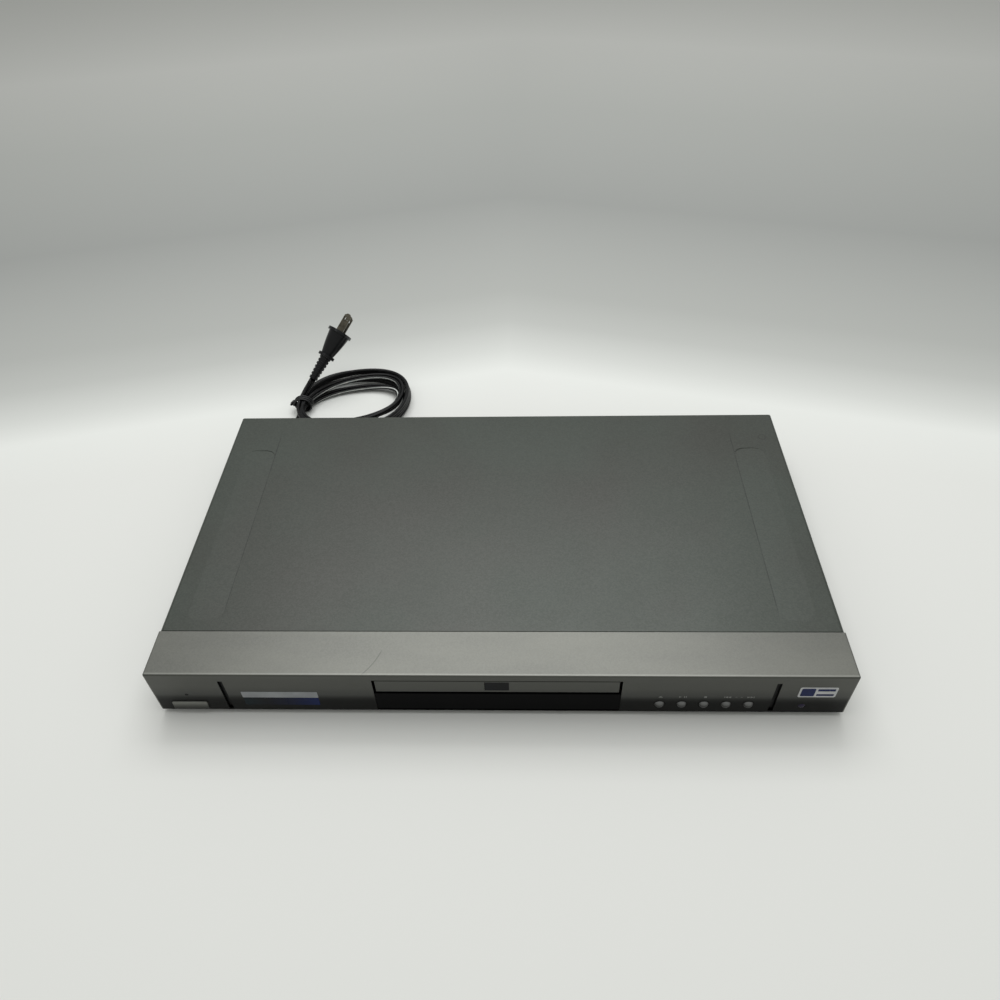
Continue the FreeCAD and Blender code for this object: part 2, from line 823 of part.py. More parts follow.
def front_panel():
    top = overall_height
    outer = block(-half_width, half_width, 0, band_depth, foot_height, top)
    side_limit = half_width - 0.01
    outer = round_edges(outer, panel_edge_round, lambda edge: is_along(edge, V(1, 0, 0))
                        and edge.CenterOfMass.z > top - 0.01 and edge.CenterOfMass.y < y_at(0.01))
    outer = round_edges(outer, 1.2, lambda edge: abs(edge.CenterOfMass.x) > side_limit - 0.6
                        and (is_along(edge, V(0, 1, 0)) or is_along(edge, V(0, 0, 1)))
                        and edge.CenterOfMass.z > foot_height + 1
                        and edge.CenterOfMass.y < y_at(band_depth - 1))
    room = block(-half_width + panel_wall, half_width - panel_wall, face_wall, band_depth + 1,
                 foot_height + panel_wall, top - panel_wall)
    under = block(-half_width + panel_wall, half_width - panel_wall, base_front_depth - 0.3, band_depth + 1,
                  foot_height - 1, foot_height + panel_wall + 1)
    panel = cut_all(outer, [room, under])
    opening = block(-opening_half, opening_half, -1, face_wall + 1, door_bottom - door_gap, door_top + door_gap)
    window = block(-opening_half, opening_half, -1, face_wall + 1, window_bottom, window_top + 0.1)
    cuts = [opening, window, power_slot(button_gap, -1, face_wall + 1)]
    groove_top = overall_height - groove_top_offset
    for side in (-1, 1):
        x = side * (half_width - groove_side_offset)
        cuts.append(block(x - groove_width / 2, x + groove_width / 2, -1, groove_cut,
                          foot_height + groove_foot, groove_top))
    cuts += [rearward(x, button_height, -1, face_wall + 1, button_radius + button_gap) for x in button_xs()]
    cuts.append(rearward(lamp_x, lamp_height, -1, face_wall + 1, lamp_radius + slip_fit))
    cuts.append(rearward(remote_x, remote_height, -1, face_wall + 1, remote_radius + slip_fit))
    panel = cut_all(panel, cuts)
    posts = [rearward(x, z, face_wall - 0.5, front_board_depth, 2.6) for x, z in front_board_post_places()]
    tab = block(base_half - base_sheet - 1.2, base_half - base_sheet - 0.2, band_depth - 12, band_depth + 9,
                base_top + 2, base_top + 9)
    web = block(base_half - base_sheet - 1.2, half_width - panel_wall + 0.5, band_depth - 12, band_depth - 6,
                base_top + 2, base_top + 9)
    ledge = block(-opening_half - 3, opening_half + 3, face_wall - 0.2, face_wall + 1.2,
                  foot_height + panel_wall - 0.5, window_bottom + 1.8)
    panel = joined([panel, ledge] + posts + both_sides(tab) + both_sides(web))
    pilots = [rearward(x, z, front_board_depth - 6, front_board_depth + 1, 1.0)
              for x, z in front_board_post_places()]
    return cut_all(panel, pilots)


def display_window():
    rear = window_setback + window_thickness
    pane = block(-opening_half + slip_fit, opening_half - slip_fit, window_setback, rear,
                 window_bottom + slip_fit, window_top - slip_fit)
    step = block(-opening_half - 1, opening_half + 1, window_setback - 1, window_setback + 1,
                 window_top - slip_fit - window_step, window_top + 1)
    return pane.cut(step)


def standby_lamp_lens():
    pipe = rearward(lamp_x, lamp_height, 0.1, front_board_depth - 1.6, lamp_radius)
    flange = rearward(lamp_x, lamp_height, face_wall + slip_fit, face_wall + slip_fit + 1, lamp_radius + 1)
    return joined([pipe, flange])


def remote_lens():
    dome = Part.makeSphere(remote_radius * 1.5, V(remote_x, y_at(remote_radius * 1.2), remote_height))
    barrel = rearward(remote_x, remote_height, -0.6, face_wall + 1.5, remote_radius)
    flange = rearward(remote_x, remote_height, face_wall + slip_fit, face_wall + slip_fit + 1,
                      remote_radius + 1.2)
    front = rearward(remote_x, remote_height, -1, remote_radius, remote_radius)
    behind = rearward(remote_x, remote_height, remote_radius * 0.6, face_wall + 1.5, remote_radius)
    return joined([barrel.common(front).common(dome), behind, flange])


def front_board():
    board = block(-front_board_half, front_board_half, front_board_depth, front_board_depth + board_sheet,
                  front_board_bottom, front_board_top)
    holes = [rearward(x, z, front_board_depth - 1, front_board_depth + 3, 1.2)
             for x, z in front_board_post_places()]
    return cut_all(board, holes)


def plunger_end_depth():
    return front_board_depth - switch_deep - switch_plunger - button_travel - switch_free


def front_board_parts():
    shapes = []
    for x, z in [(power_x, power_height)] + [(x, button_height) for x in button_xs()]:
        half = switch_body / 2
        low = max(z - half, front_board_bottom)
        body = block(x - half, x + half, front_board_depth - switch_deep, front_board_depth, low, z + half)
        plunger = rearward(x, z, front_board_depth - switch_deep - switch_plunger,
                           front_board_depth - switch_deep, plunger_radius)
        shapes.append(joined([body, plunger]))
    receiver = block(remote_x - 3.5, remote_x + 3.5, face_wall + 3.5, front_board_depth, remote_height - 3.5,
                     remote_height + 4.5)
    lamp = rearward(lamp_x, lamp_height, front_board_depth - 1.4, front_board_depth, 1.5)
    left = ribbon_left_x()
    plug = block(left - 1, left + ribbon_width + 1, front_board_depth + board_sheet,
                 front_board_depth + board_sheet + ribbon_plug_deep, front_board_bottom + ribbon_plug_lift,
                 front_board_bottom + ribbon_plug_lift + 4)
    return group(shapes + [receiver, lamp, plug])


def display_module():
    z0 = front_board_bottom + 1.5
    glass = block(-display_half_width, display_half_width, front_board_depth - 1.6 - display_glass,
                  front_board_depth - 1.6, z0, z0 + display_height)
    glass = round_edges(glass, 0.8, lambda edge: is_along(edge, V(0, 1, 0)))
    holder = block(-display_half_width - 2, display_half_width + 2, front_board_depth - 1.6, front_board_depth,
                   z0 - 1, z0 + display_height + 1)
    return joined([glass, holder])


def power_button():
    cap = power_slot(0, -power_proud, face_wall + button_seat_gap + 0.1)
    cap = round_edges(cap, 0.5, lambda edge: edge.CenterOfMass.y < y_at(-power_proud + 0.01))
    start = face_wall + button_seat_gap
    flange = block(power_x - power_width / 2 - 1, power_x + power_width / 2 + 1, start,
                   start + button_flange_sheet, power_height - power_tall / 2 + 1.0,
                   power_height + power_tall / 2 + button_flange)
    stem = rearward(power_x, power_height, start, plunger_end_depth(), plunger_radius)
    return joined([cap, flange, stem])


def round_button(x):
    shank = rearward(x, button_height, 0, face_wall + button_seat_gap + 0.1, button_radius)
    rise = button_proud
    sphere_radius = (button_radius ** 2 + rise ** 2) / (2 * rise)
    dome = Part.makeSphere(sphere_radius, V(x, y_at(sphere_radius - rise), button_height))
    cap = dome.common(rearward(x, button_height, -rise - 1, 0.2, button_radius))
    start = face_wall + button_seat_gap
    flange = rearward(x, button_height, start, start + button_flange_sheet, button_radius + button_flange)
    stem = rearward(x, button_height, start, plunger_end_depth(), plunger_radius)
    return joined([shank, cap, flange, stem])


# Boards
def main_board():
    inner, outer, front, rear = board_limits()
    arm_front = frame_rear_depth + board_arm_front_gap
    corners = [(inner, front), (outer, front), (outer, rear), (board_arm_left_x, rear),
               (board_arm_left_x, arm_front), (inner, arm_front)]
    board = flat_prism(corners, board_bottom, board_top)
    return cut_all(board, [upright(x, depth, board_bottom - 1, board_top + 1, 1.6)
                           for x, depth in board_standoff_places(1)])


def power_board():
    inner, outer, front, rear = board_limits()
    board = block(-outer, -inner, front, rear - 12, board_bottom, board_top)
    return cut_all(board, [upright(x, depth, board_bottom - 1, board_top + 1, 1.6)
                           for x, depth in board_standoff_places(-1)])


def along_board(share):
    """The depth at a share of the boards' length, counted from their front edge."""
    inner, outer, front, rear = board_limits()
    return front + share * (rear - front)


def can(x, depth, radius, tall):
    """An electrolytic capacitor standing on a board."""
    body = upright(x, depth, board_top, board_top + tall, radius)
    return round_edges(body, 0.5, lambda edge: edge.CenterOfMass.z > board_top + tall - 0.01)


def chip(x, depth, half_x, half_depth, tall=1.6):
    return block(x - half_x, x + half_x, depth - half_depth, depth + half_depth, board_top, board_top + tall)


def main_board_parts():
    inner, outer, front, rear = board_limits()
    middle = (inner + outer) / 2
    loader_plug, crystal_depth = along_board(0.50), along_board(0.43)
    shapes = [
        chip(middle, along_board(0.30), 14, 14),
        chip(middle + 30, along_board(0.23), 5, 10),
        chip(middle + 30, along_board(0.38), 5, 10),
        chip(middle - 32, along_board(0.30), 6, 8),
        chip(middle - 6, along_board(0.56), 9, 5),
        chip(middle + 24, along_board(0.60), 8, 5),
        block(middle - 26, middle - 4, front + 6, front + 11, board_top, board_top + 5),
        block(inner + 4, inner + 9, loader_plug, loader_plug + 26, board_top, board_top + 8),
    ]
    for index in range(4):
        shapes.append(can(outer - 12 - index * 13, along_board(0.74), 3.2, 11))
    for index in range(3):
        shapes.append(can(board_arm_left_x + 14 + index * 14, frame_rear_depth + board_arm_front_gap + 14, 4.0, 12))
    crystal = rounded_block(middle - 28, middle - 17, crystal_depth, crystal_depth + 5, board_top,
                            board_top + 4, 2.3, V(0, 0, 1))
    return group(shapes + [crystal])


def power_board_parts():
    inner, outer, front, rear = board_limits()
    choke, mains_capacitor, mains_plug = along_board(0.67), along_board(0.74), along_board(0.79)
    fuse_depth = along_board(0.69)
    shapes = [
        can(-outer + 22, along_board(0.36), 9.0, 25),
        can(-inner - 12, along_board(0.23), 5.0, 18),
        can(-inner - 12, along_board(0.34), 5.0, 16),
        can(-inner - 26, along_board(0.20), 4.0, 12),
        can(-inner - 12, along_board(0.54), 5.0, 18),
        block(-outer + 10, -outer + 30, choke, choke + 16, board_top, board_top + 16),
        block(-outer + 38, -outer + 58, mains_capacitor, mains_capacitor + 6, board_top, board_top + 7),
        block(-inner - 42, -inner - 16, front + 4, front + 9, board_top, board_top + 6),
        block(-outer + 4, -outer + 14, mains_plug, mains_plug + 10, board_top, board_top + 9),
    ]
    fuse = Part.makeCylinder(2.6, 20, V(-outer + 36, y_at(fuse_depth), board_top + 3.2), V(1, 0, 0))
    clips = [block(-outer + 38 + step, -outer + 41 + step, fuse_depth - 3, fuse_depth + 3, board_top,
                   board_top + 0.55) for step in (0, 13)]
    return group(shapes + [fuse] + clips)


def power_transformer():
    """A wound ferrite transformer: core, bobbin and wrapped winding."""
    inner, outer, front, rear = board_limits()
    x, depth = -(inner + outer) / 2 - 4, along_board(0.51)
    bobbin = block(x - 14, x + 14, depth - 12, depth + 12, board_top, board_top + 3)
    winding = rounded_block(x - 9, x + 9, depth - 10, depth + 10, board_top + 3, board_top + 19, 3, V(0, 0, 1))
    core_side = block(x - 14, x - 9, depth - 6, depth + 6, board_top + 3, board_top + 22)
    core_far = block(x + 9, x + 14, depth - 6, depth + 6, board_top + 3, board_top + 22)
    core_top = block(x - 14, x + 14, depth - 6, depth + 6, board_top + 19, board_top + 24)
    return joined([bobbin, winding, core_side, core_far, core_top])


def heat_sink():
    """A bent aluminium plate with fins, and the power switch clipped to it."""
    inner, outer, front, rear = board_limits()
    x, depth = -outer + 12, along_board(0.52)
    plate = block(x, x + 1.6, depth - 16, depth + 16, board_top, board_top + 24)
    fins = [block(x - 6, x + 0.1, depth - 16 + step, depth - 15 + step, board_top + 4, board_top + 24)
            for step in (0, 7.75, 15.5, 23.25, 31)]
    transistor = block(x + 1.6, x + 6, depth - 5, depth + 5, board_top + 4, board_top + 19)
    return joined([plate, transistor] + fins)


def strip_face(corners, bend, thick):
    """Side outline of a bent strip, through (depth, height) corners that each turn a quarter."""
    points = [V(0, y_at(depth), z) for depth, z in corners]
    edges = []
    for side in (1, -1):
        across = []
        for index, point in enumerate(points):
            into = V(point - points[index - 1]).normalize() if index > 0 else None
            out = V(points[index + 1] - point).normalize() if index < len(points) - 1 else None
            if into is None or out is None:
                way = out or into
                across.append((point + V(0, -way.z, way.y) * side * thick / 2, None, None))
                continue
            centre = point - into * bend + out * bend
            turn = into.y * out.z - into.z * out.y
            radius = bend - side * turn * thick / 2
            middle = centre + V(point - centre).normalize() * radius
            start = centre - out * radius
            end = centre + into * radius
            across.append((start, middle, end))
        here = across[0][0]
        for start, middle, end in across[1:-1]:
            edges.append(Part.LineSegment(here, start).toShape())
            edges.append(Part.Arc(start, middle, end).toShape())
            here = end
        edges.append(Part.LineSegment(here, across[-1][0]).toShape())
        if side == 1:
            first_end, last_end = across[0][0], across[-1][0]
        else:
            edges.append(Part.LineSegment(first_end, across[0][0]).toShape())
            edges.append(Part.LineSegment(last_end, across[-1][0]).toShape())
    return Part.Face(Part.Wire(Part.__sortEdges__(edges)))


def front_ribbon():
    """The flat cable from the front board, along the base and up over the main board's front edge."""
    inner, outer, front, rear = board_limits()
    start = base_front_depth + base_lip_setback + base_sheet + ribbon_gap
    low = base_top + bead_height + ribbon_gap
    corners = [
        (start, front_board_bottom + ribbon_plug_lift - slip_fit),
        (start, low),
        (front - 3, low),
        (front - 3, board_top + 3.5),
        (front + 6 - slip_fit, board_top + 3.5),
    ]
    face = strip_face(corners, ribbon_bend, ribbon_sheet)
    face.translate(V(ribbon_left_x(), 0, 0))
    return face.extrude(V(ribbon_width, 0, 0))


# Gears
def polar(centre, radius, angle):
    return centre + V(radius * math.cos(angle), radius * math.sin(angle), 0)


def involute(angle):
    return math.tan(angle) - angle


def gear_disc(module, teeth, x, depth, z0, z1, phase):
    """A spur gear with involute flanks. One tooth points at the phase angle."""
    centre = V(x, y_at(depth), z0)
    pitch = module * teeth / 2
    base = pitch * math.cos(math.radians(pressure_angle))
    tip = pitch + addendum * module
    root = pitch - dedendum * module
    low = max(base + 0.01, root + 0.05)
    half_at_pitch = math.pi / (2 * teeth) - backlash / (2 * pitch)
    start = half_at_pitch + involute(math.radians(pressure_angle))

    def half_angle(radius):
        return start - involute(math.acos(base / radius))

    edges = []
    step = 2 * math.pi / teeth
    middle = (low + tip) / 2
    for index in range(teeth):
        axis = phase + index * step
        before, after = axis - half_angle(low), axis + half_angle(low)
        root_before, low_before = polar(centre, root, before), polar(centre, low, before)
        low_after, root_after = polar(centre, low, after), polar(centre, root, after)
        tip_before = polar(centre, tip, axis - half_angle(tip))
        tip_after = polar(centre, tip, axis + half_angle(tip))
        next_before = polar(centre, root, axis + step - half_angle(low))
        root_middle = polar(centre, root, axis + step / 2)
        edges.append(Part.makeLine(root_before, low_before))
        edges.append(Part.Arc(low_before, polar(centre, middle, axis - half_angle(middle)), tip_before).toShape())
        edges.append(Part.Arc(tip_before, polar(centre, tip, axis), tip_after).toShape())
        edges.append(Part.Arc(tip_after, polar(centre, middle, axis + half_angle(middle)), low_after).toShape())
        edges.append(Part.makeLine(low_after, root_after))
        edges.append(Part.Arc(root_after, root_middle, next_before).toShape())
    return Part.Face(Part.Wire(edges)).extrude(V(0, 0, z1 - z0))


rack_gear_pitch = rack_module * rack_gear_teeth / 2
train_gear_pitch = train_module * train_gear_teeth / 2
pinion_pitch = train_module * pinion_teeth / 2
pulley_x = loading_gear_x - train_gear_pitch - pinion_pitch
rack_line_x = loading_gear_x + rack_gear_pitch
gear_bottom = frame_top_floor + gear_lift
rack_bottom = door_bottom
rack_gear_bottom = rack_bottom + gear_seat_gap
rack_gear_top = tray_bottom - gear_seat_gap
pulley_bottom = frame_top_floor + pulley_lift
pulley_top = pulley_bottom + pulley_face


def loading_gear():
    train = gear_disc(train_module, train_gear_teeth, loading_gear_x, loading_gear_depth, gear_bottom,
                      gear_bottom + train_face, 0)
    gap_angle = math.pi / rack_gear_teeth
    rack_gear = gear_disc(rack_module, rack_gear_teeth, loading_gear_x, loading_gear_depth,
                          rack_gear_bottom, rack_gear_top, gap_angle)
    hub = upright(loading_gear_x, loading_gear_depth, gear_bottom, rack_gear_bottom + 1, gear_hub_radius)
    bore = upright(loading_gear_x, loading_gear_depth, gear_bottom - 1, tray_bottom + 1, gear_bore_radius)
    ring = upright(loading_gear_x, loading_gear_depth, gear_bottom - 1, gear_bottom + 1.2, train_gear_pitch - 3.2)
    ring = ring.cut(upright(loading_gear_x, loading_gear_depth, gear_bottom - 2, gear_bottom + 2,
                            gear_hub_radius + 0.8))
    return cut_all(joined([train, rack_gear, hub]), [bore, ring])


def pulley_wheel(x, radius):
    """A belt wheel with a square groove round its rim."""
    wheel = upright(x, loading_gear_depth, pulley_bottom, pulley_top, radius)
    low = pulley_bottom + (pulley_face - belt_section) / 2 - 0.15
    high = low + belt_section + 0.3
    ring = upright(x, loading_gear_depth, low, high, radius + 1)
    core = upright(x, loading_gear_depth, low, high, radius - groove_depth)
    return wheel.cut(ring.cut(core))


def pulley_gear():
    phase = math.pi / pinion_teeth
    pinion = gear_disc(train_module, pinion_teeth, pulley_x, loading_gear_depth, gear_bottom - 0.3,
                       gear_bottom + train_face + 0.3, phase)
    hub = upright(pulley_x, loading_gear_depth, gear_bottom + train_face, pulley_bottom + 0.2, pinion_pitch - 1.2)
    bore = upright(pulley_x, loading_gear_depth, gear_bottom - 1, pulley_top + 1, gear_bore_radius - 0.4)
    return joined([pinion, hub, pulley_wheel(pulley_x, pulley_radius)]).cut(bore)


def motor_pulley():
    wheel = pulley_wheel(motor_x, motor_pulley_radius)
    bore = upright(motor_x, loading_gear_depth, pulley_bottom - 1, pulley_top + 1, motor_shaft_radius + 0.08)
    return wheel.cut(bore)


def belt_loop(wheel_radius, small_radius, z0, z1):
    """A closed band round two wheels, as a solid plate."""
    span = pulley_x - motor_x
    lean = math.asin((wheel_radius - small_radius) / span)
    large, small = V(pulley_x, y_at(loading_gear_depth), z0), V(motor_x, y_at(loading_gear_depth), z0)
    up, down = math.pi / 2 + lean, -math.pi / 2 - lean
    large_up, large_down = polar(large, wheel_radius, up), polar(large, wheel_radius, down)
    small_up, small_down = polar(small, small_radius, up), polar(small, small_radius, down)
    edges = [
        Part.Arc(large_down, polar(large, wheel_radius, 0), large_up).toShape(),
        Part.makeLine(large_up, small_up),
        Part.Arc(small_up, polar(small, small_radius, math.pi), small_down).toShape(),
        Part.makeLine(small_down, large_down),
    ]
    return Part.Face(Part.Wire(edges)).extrude(V(0, 0, z1 - z0))


def loading_belt():
    low = pulley_bottom + (pulley_face - belt_section) / 2
    high = low + belt_section
    inner_large = pulley_radius - groove_depth + belt_gap
    inner_small = motor_pulley_radius - groove_depth + belt_gap
    outer = belt_loop(inner_large + belt_section, inner_small + belt_section, low, high)
    return outer.cut(belt_loop(inner_large, inner_small, low - 1, high + 1))


motor_bottom = base_top + 1.0
motor_collar_radius = motor_radius + 2.0
motor_collar_top = frame_top_floor + 4.2


def loading_motor():
    top = motor_collar_top + 1.2
    body = upright(motor_x, loading_gear_depth, motor_bottom, top, motor_radius)
    body = round_edges(body, 1.0, lambda edge: edge.CenterOfMass.z < motor_bottom + 0.01)
    flange = upright(motor_x, loading_gear_depth, motor_collar_top, top, motor_collar_radius)
    shaft = upright(motor_x, loading_gear_depth, top, pulley_top + 0.4, motor_shaft_radius)
    nose = upright(motor_x, loading_gear_depth, top, pulley_bottom - 0.3, 2.0)
    return joined([body, flange, shaft, nose])


# Loader frame
rail_bottom = tray_bottom + rail_lift
bearing_inner = frame_opening_half + 0.6
bearing_outer = bearing_inner + 5.5
pivot_height = frame_top_floor + pivot_lift


def bridge_screw_places():
    x = tray_half_width + tray_side_gap + frame_wall / 2
    reach = bridge_half_depth - 4
    return [(side * x, spindle_depth + step) for side in (-1, 1) for step in (-reach, reach)]


def loader_frame():
    front, rear = frame_front_depth, frame_rear_depth
    floor = block(-frame_half, frame_half, front, rear, frame_bottom, frame_top_floor)
    hole = block(-frame_opening_half, frame_opening_half, frame_opening_front, rear - frame_rear_strip,
                 frame_bottom - 1, frame_top_floor + 1)
    hole = round_edges(hole, 3.0, lambda edge: is_along(edge, V(0, 0, 1)))
    wall = block(frame_half - frame_wall, frame_half, front, rear, frame_bottom, frame_wall_top)
    slot = block(frame_half - frame_wall - 1, frame_half - frame_wall - tray_side_gap + rail_reach + 0.5,
                 front - 1, rear - 3, rail_bottom - rail_gap, rail_bottom + rail_height + rail_gap)
    pocket_run = (rear - front - frame_rib) / frame_pocket_count
    pockets = [slot]
    for index in range(frame_pocket_count):
        start = front + frame_rib + index * pocket_run
        pockets.append(block(frame_half - frame_pocket_deep, frame_half + 1, start, start + pocket_run - frame_rib,
                             frame_top_floor + 1, rail_bottom - rail_gap - 2.5))
    wall = cut_all(wall, pockets)
    end_wall = block(-frame_half + 1, frame_half - 1, rear - 2, rear, frame_bottom, tray_bottom + 1)
    frame = joined([floor.cut(hole), end_wall] + both_sides(wall))
    bearing = block(bearing_inner, bearing_outer, pivot_depth - 5, pivot_depth + 5, frame_top_floor - 0.5,
                    pivot_height + 5)
    posts = [
        upright(loading_gear_x, loading_gear_depth, frame_top_floor - 0.5, rack_gear_top, gear_post_radius),
        upright(loading_gear_x, loading_gear_depth, frame_top_floor - 0.5, gear_bottom - gear_seat_gap, gear_shoulder),
        upright(pulley_x, loading_gear_depth, frame_top_floor - 0.5, pulley_top, gear_post_radius - 0.4),
        upright(pulley_x, loading_gear_depth, frame_top_floor - 0.5, gear_bottom - 0.6, gear_shoulder),
        upright(motor_x, loading_gear_depth, frame_top_floor - 0.5, motor_collar_top, motor_collar_radius),
    ]
    guide_low, guide_high = frame_top_floor - 0.5, frame_top_floor + 1.8
    guides = [
        block(cam_left_x, cam_right_x + cam_travel, cam_depth - 1.9, cam_depth - 0.3, guide_low, guide_high),
        block(cam_left_x, cam_right_x + cam_travel, cam_depth + cam_sheet + 0.3, cam_depth + cam_sheet + 1.9,
              guide_low, guide_high),
    ]
    frame = joined([frame] + both_sides(bearing) + posts + guides)
    pins = [sideways(pivot_depth, pivot_height, bearing_inner - 1, bearing_outer + 1, pivot_radius + pivot_bore_gap)]
    holes = both_sides(pins[0])
    holes.append(upright(motor_x, loading_gear_depth, frame_bottom - 1, motor_collar_top + 1, motor_radius + 0.1))
    holes += [upright(x, depth, frame_bottom - 1, frame_top_floor + 1, 1.4) for x, depth in loader_foot_places()]
    holes += [upright(x, depth, frame_wall_top - 6, frame_wall_top + 1, 1.1) for x, depth in bridge_screw_places()]
    return cut_all(frame, holes)


def clamp_bridge():
    """The bar across the loader that holds the clamper over the disc."""
    near, far = spindle_depth - bridge_half_depth, spindle_depth + bridge_half_depth
    plate = rounded_block(-frame_half, frame_half, near, far, bridge_bottom, bridge_top, 4.0, V(0, 0, 1))
    pad = block(frame_half - frame_wall, frame_half, near + 1, far - 1, frame_wall_top, bridge_bottom + 0.2)
    rib = block(-frame_half + 10, frame_half - 10, near + 1, near + 2.5, bridge_top - 0.2, bridge_top + 1.4)
    rib_far = block(-frame_half + 10, frame_half - 10, far - 2.5, far - 1, bridge_top - 0.2, bridge_top + 1.4)
    bridge = joined([plate, rib, rib_far] + both_sides(pad))
    holes = [upright(0, spindle_depth, bridge_bottom - 1, bridge_top + 1, clamper_radius + 1)]
    holes += [upright(x, depth, frame_wall_top - 1, bridge_top + 1, 1.1) for x, depth in bridge_screw_places()]
    for side in (-1, 1):
        x = side * (clamper_flange_radius + 17)
        holes.append(rounded_block(x - 10, x + 10, near + 8, far - 8, bridge_bottom - 1, bridge_top + 1, 4.0,
                                   V(0, 0, 1)))
    return cut_all(bridge, holes)


# Tray
def rack_strip():
    """The moulded rack under the tray's right side, its teeth facing the loading gear."""
    root_x = rack_line_x + dedendum * rack_module
    tip_x = rack_line_x - addendum * rack_module
    body_end = door_thickness + tray_length
    start = door_thickness + 6
    body = block(root_x - 0.1, root_x + rack_body, start, body_end, rack_bottom, tray_bottom + 0.5)
    pitch = math.pi * rack_module
    slope = math.tan(math.radians(pressure_angle))
    half_pitch = pitch / 4 - backlash / 2
    half_root = half_pitch + dedendum * rack_module * slope
    half_tip = half_pitch - addendum * rack_module * slope
    first = math.ceil((start + half_root - loading_gear_depth) / pitch)
    last = math.floor((body_end - half_root - loading_gear_depth) / pitch)
    teeth = []
    for index in range(first, last + 1):
        depth = loading_gear_depth + index * pitch
        corners = [(root_x, depth - half_root), (tip_x, depth - half_tip), (tip_x, depth + half_tip),
                   (root_x, depth + half_root)]
        teeth.append(flat_prism(corners, rack_bottom, tray_bottom + 0.5))
    return joined([body] + teeth)


def tray():
    front, rear = door_thickness, door_thickness + tray_length
    plate = block(-tray_half_width, tray_half_width, front, rear, tray_bottom, tray_top)
    plate = round_edges(plate, 5.0, lambda edge: is_along(edge, V(0, 0, 1)) and edge.CenterOfMass.y > y_at(front + 1))
    rail = block(tray_half_width - 1, tray_half_width + rail_reach, front + 14, rear - 4, rail_bottom,
                 rail_bottom + rail_height)
    well = upright(0, spindle_depth, disc_floor, tray_top + 1, disc_recess_radius)
    well = round_edges(well, 0.8, lambda edge: edge.CenterOfMass.z < disc_floor + 0.01)
    small_well = upright(0, spindle_depth, disc_floor - small_recess_depth, tray_top, small_recess_radius)
    centre = upright(0, spindle_depth, tray_bottom - 1, tray_top + 1, pickup_slot_half)
    slot = block(-pickup_slot_half, pickup_slot_half, spindle_depth, rear + 1, tray_bottom - 1, tray_top + 1)
    plate = cut_all(plate, [well, small_well, centre, slot])
    hollows = []
    for side in (-1, 1):
        for near, far in ((front + 2, spindle_depth - 48), (spindle_depth + 48, rear - 4)):
            x0, x1 = (tray_half_width - 16) * side, (tray_half_width - tray_wall) * side
            hollow = block(min(x0, x1), max(x0, x1), near, far, tray_bottom - 1, tray_top - tray_wall)
            hollows.append(hollow.cut(upright(0, spindle_depth, tray_bottom - 2, tray_top, disc_recess_radius + tray_wall)))
    finger = upright(0, front + 2, tray_top - 2.2, tray_top + 1, 14)
    plate = cut_all(plate, hollows + [finger.common(block(-20, 20, front + 1.6, front + 30, 0, tray_top + 2))])
    tab = block(8, 14, front - 1.4, front + 0.1, tray_bottom + 1, tray_bottom + 3.4)
    return joined([plate, rack_strip()] + both_sides(rail) + both_sides(tab))


def tray_door():
    door = block(-door_half_width, door_half_width, 0, door_thickness, door_bottom, door_top)
    door = round_edges(door, door_round, lambda edge: edge.CenterOfMass.y < y_at(0.01))
    plate_z = (door_bottom + door_top) / 2 + 0.6
    place = block(-door_plate_width / 2, door_plate_width / 2, -1, door_plate_depth,
                  plate_z - door_plate_height / 2, plate_z + door_plate_height / 2)
    slots = both_sides(block(8 - slip_fit, 14 + slip_fit, door_thickness - 1.6, door_thickness + 1,
                             tray_bottom + 1 - slip_fit, tray_bottom + 3.4 + slip_fit))
    return cut_all(door, [place] + slots)


# Cam slider and traverse
pin_height = frame_top_floor + traverse_lift + traverse_sheet / 2
cam_bottom = frame_top_floor + 0.3
cam_drop = (pivot_depth - cam_depth - cam_sheet / 2) * math.sin(math.radians(tilt_angle))


def cam_slider():
    """The sliding plate whose sloped slot lowers the traverse's front pin, with its short rack."""
    plate = block(cam_left_x, cam_right_x, cam_depth, cam_depth + cam_sheet, cam_bottom, cam_bottom + cam_tall)
    plate = round_edges(plate, 1.5, lambda edge: is_along(edge, V(0, 1, 0)) and edge.CenterOfMass.z > frame_top_floor + 5)
    half = cam_pin_radius + cam_pin_gap
    high = V(cam_pin_x, y_at(cam_depth - 1), pin_height)
    low = V(cam_pin_x - cam_travel, y_at(cam_depth - 1), pin_height - cam_drop)
    run = (high - low).normalize()
    side = V(-run.z, 0, run.x) * half
    slope = outline_face([high + side, high - side, low - side, low + side]).extrude(V(0, cam_sheet + 2, 0))
    ends = [rearward(point.x, point.z, cam_depth - 1, cam_depth + cam_sheet + 1, half) for point in (high, low)]
    plate = cut_all(plate, [slope] + ends)
    tip = loading_gear_depth + train_gear_pitch + addendum * train_module + 0.4
    rack = block(cam_right_x - 18, cam_right_x, tip + 1.6, cam_depth + 0.2, gear_bottom, gear_bottom + train_face)
    pitch = math.pi * train_module
    teeth = []
    for index in range(6):
        x = cam_right_x - 2 - index * pitch
        corners = [(x - 0.85, tip + 1.7), (x - 0.3, tip), (x + 0.3, tip), (x + 0.85, tip + 1.7)]
        teeth.append(flat_prism(corners, gear_bottom, gear_bottom + train_face))
    return joined([plate, rack] + teeth)


sled_bottom = frame_top_floor + traverse_lift - 3.5
rod_height = frame_top_floor + traverse_lift - 0.6
traverse_bottom = frame_top_floor + traverse_lift
traverse_top = traverse_bottom + traverse_sheet


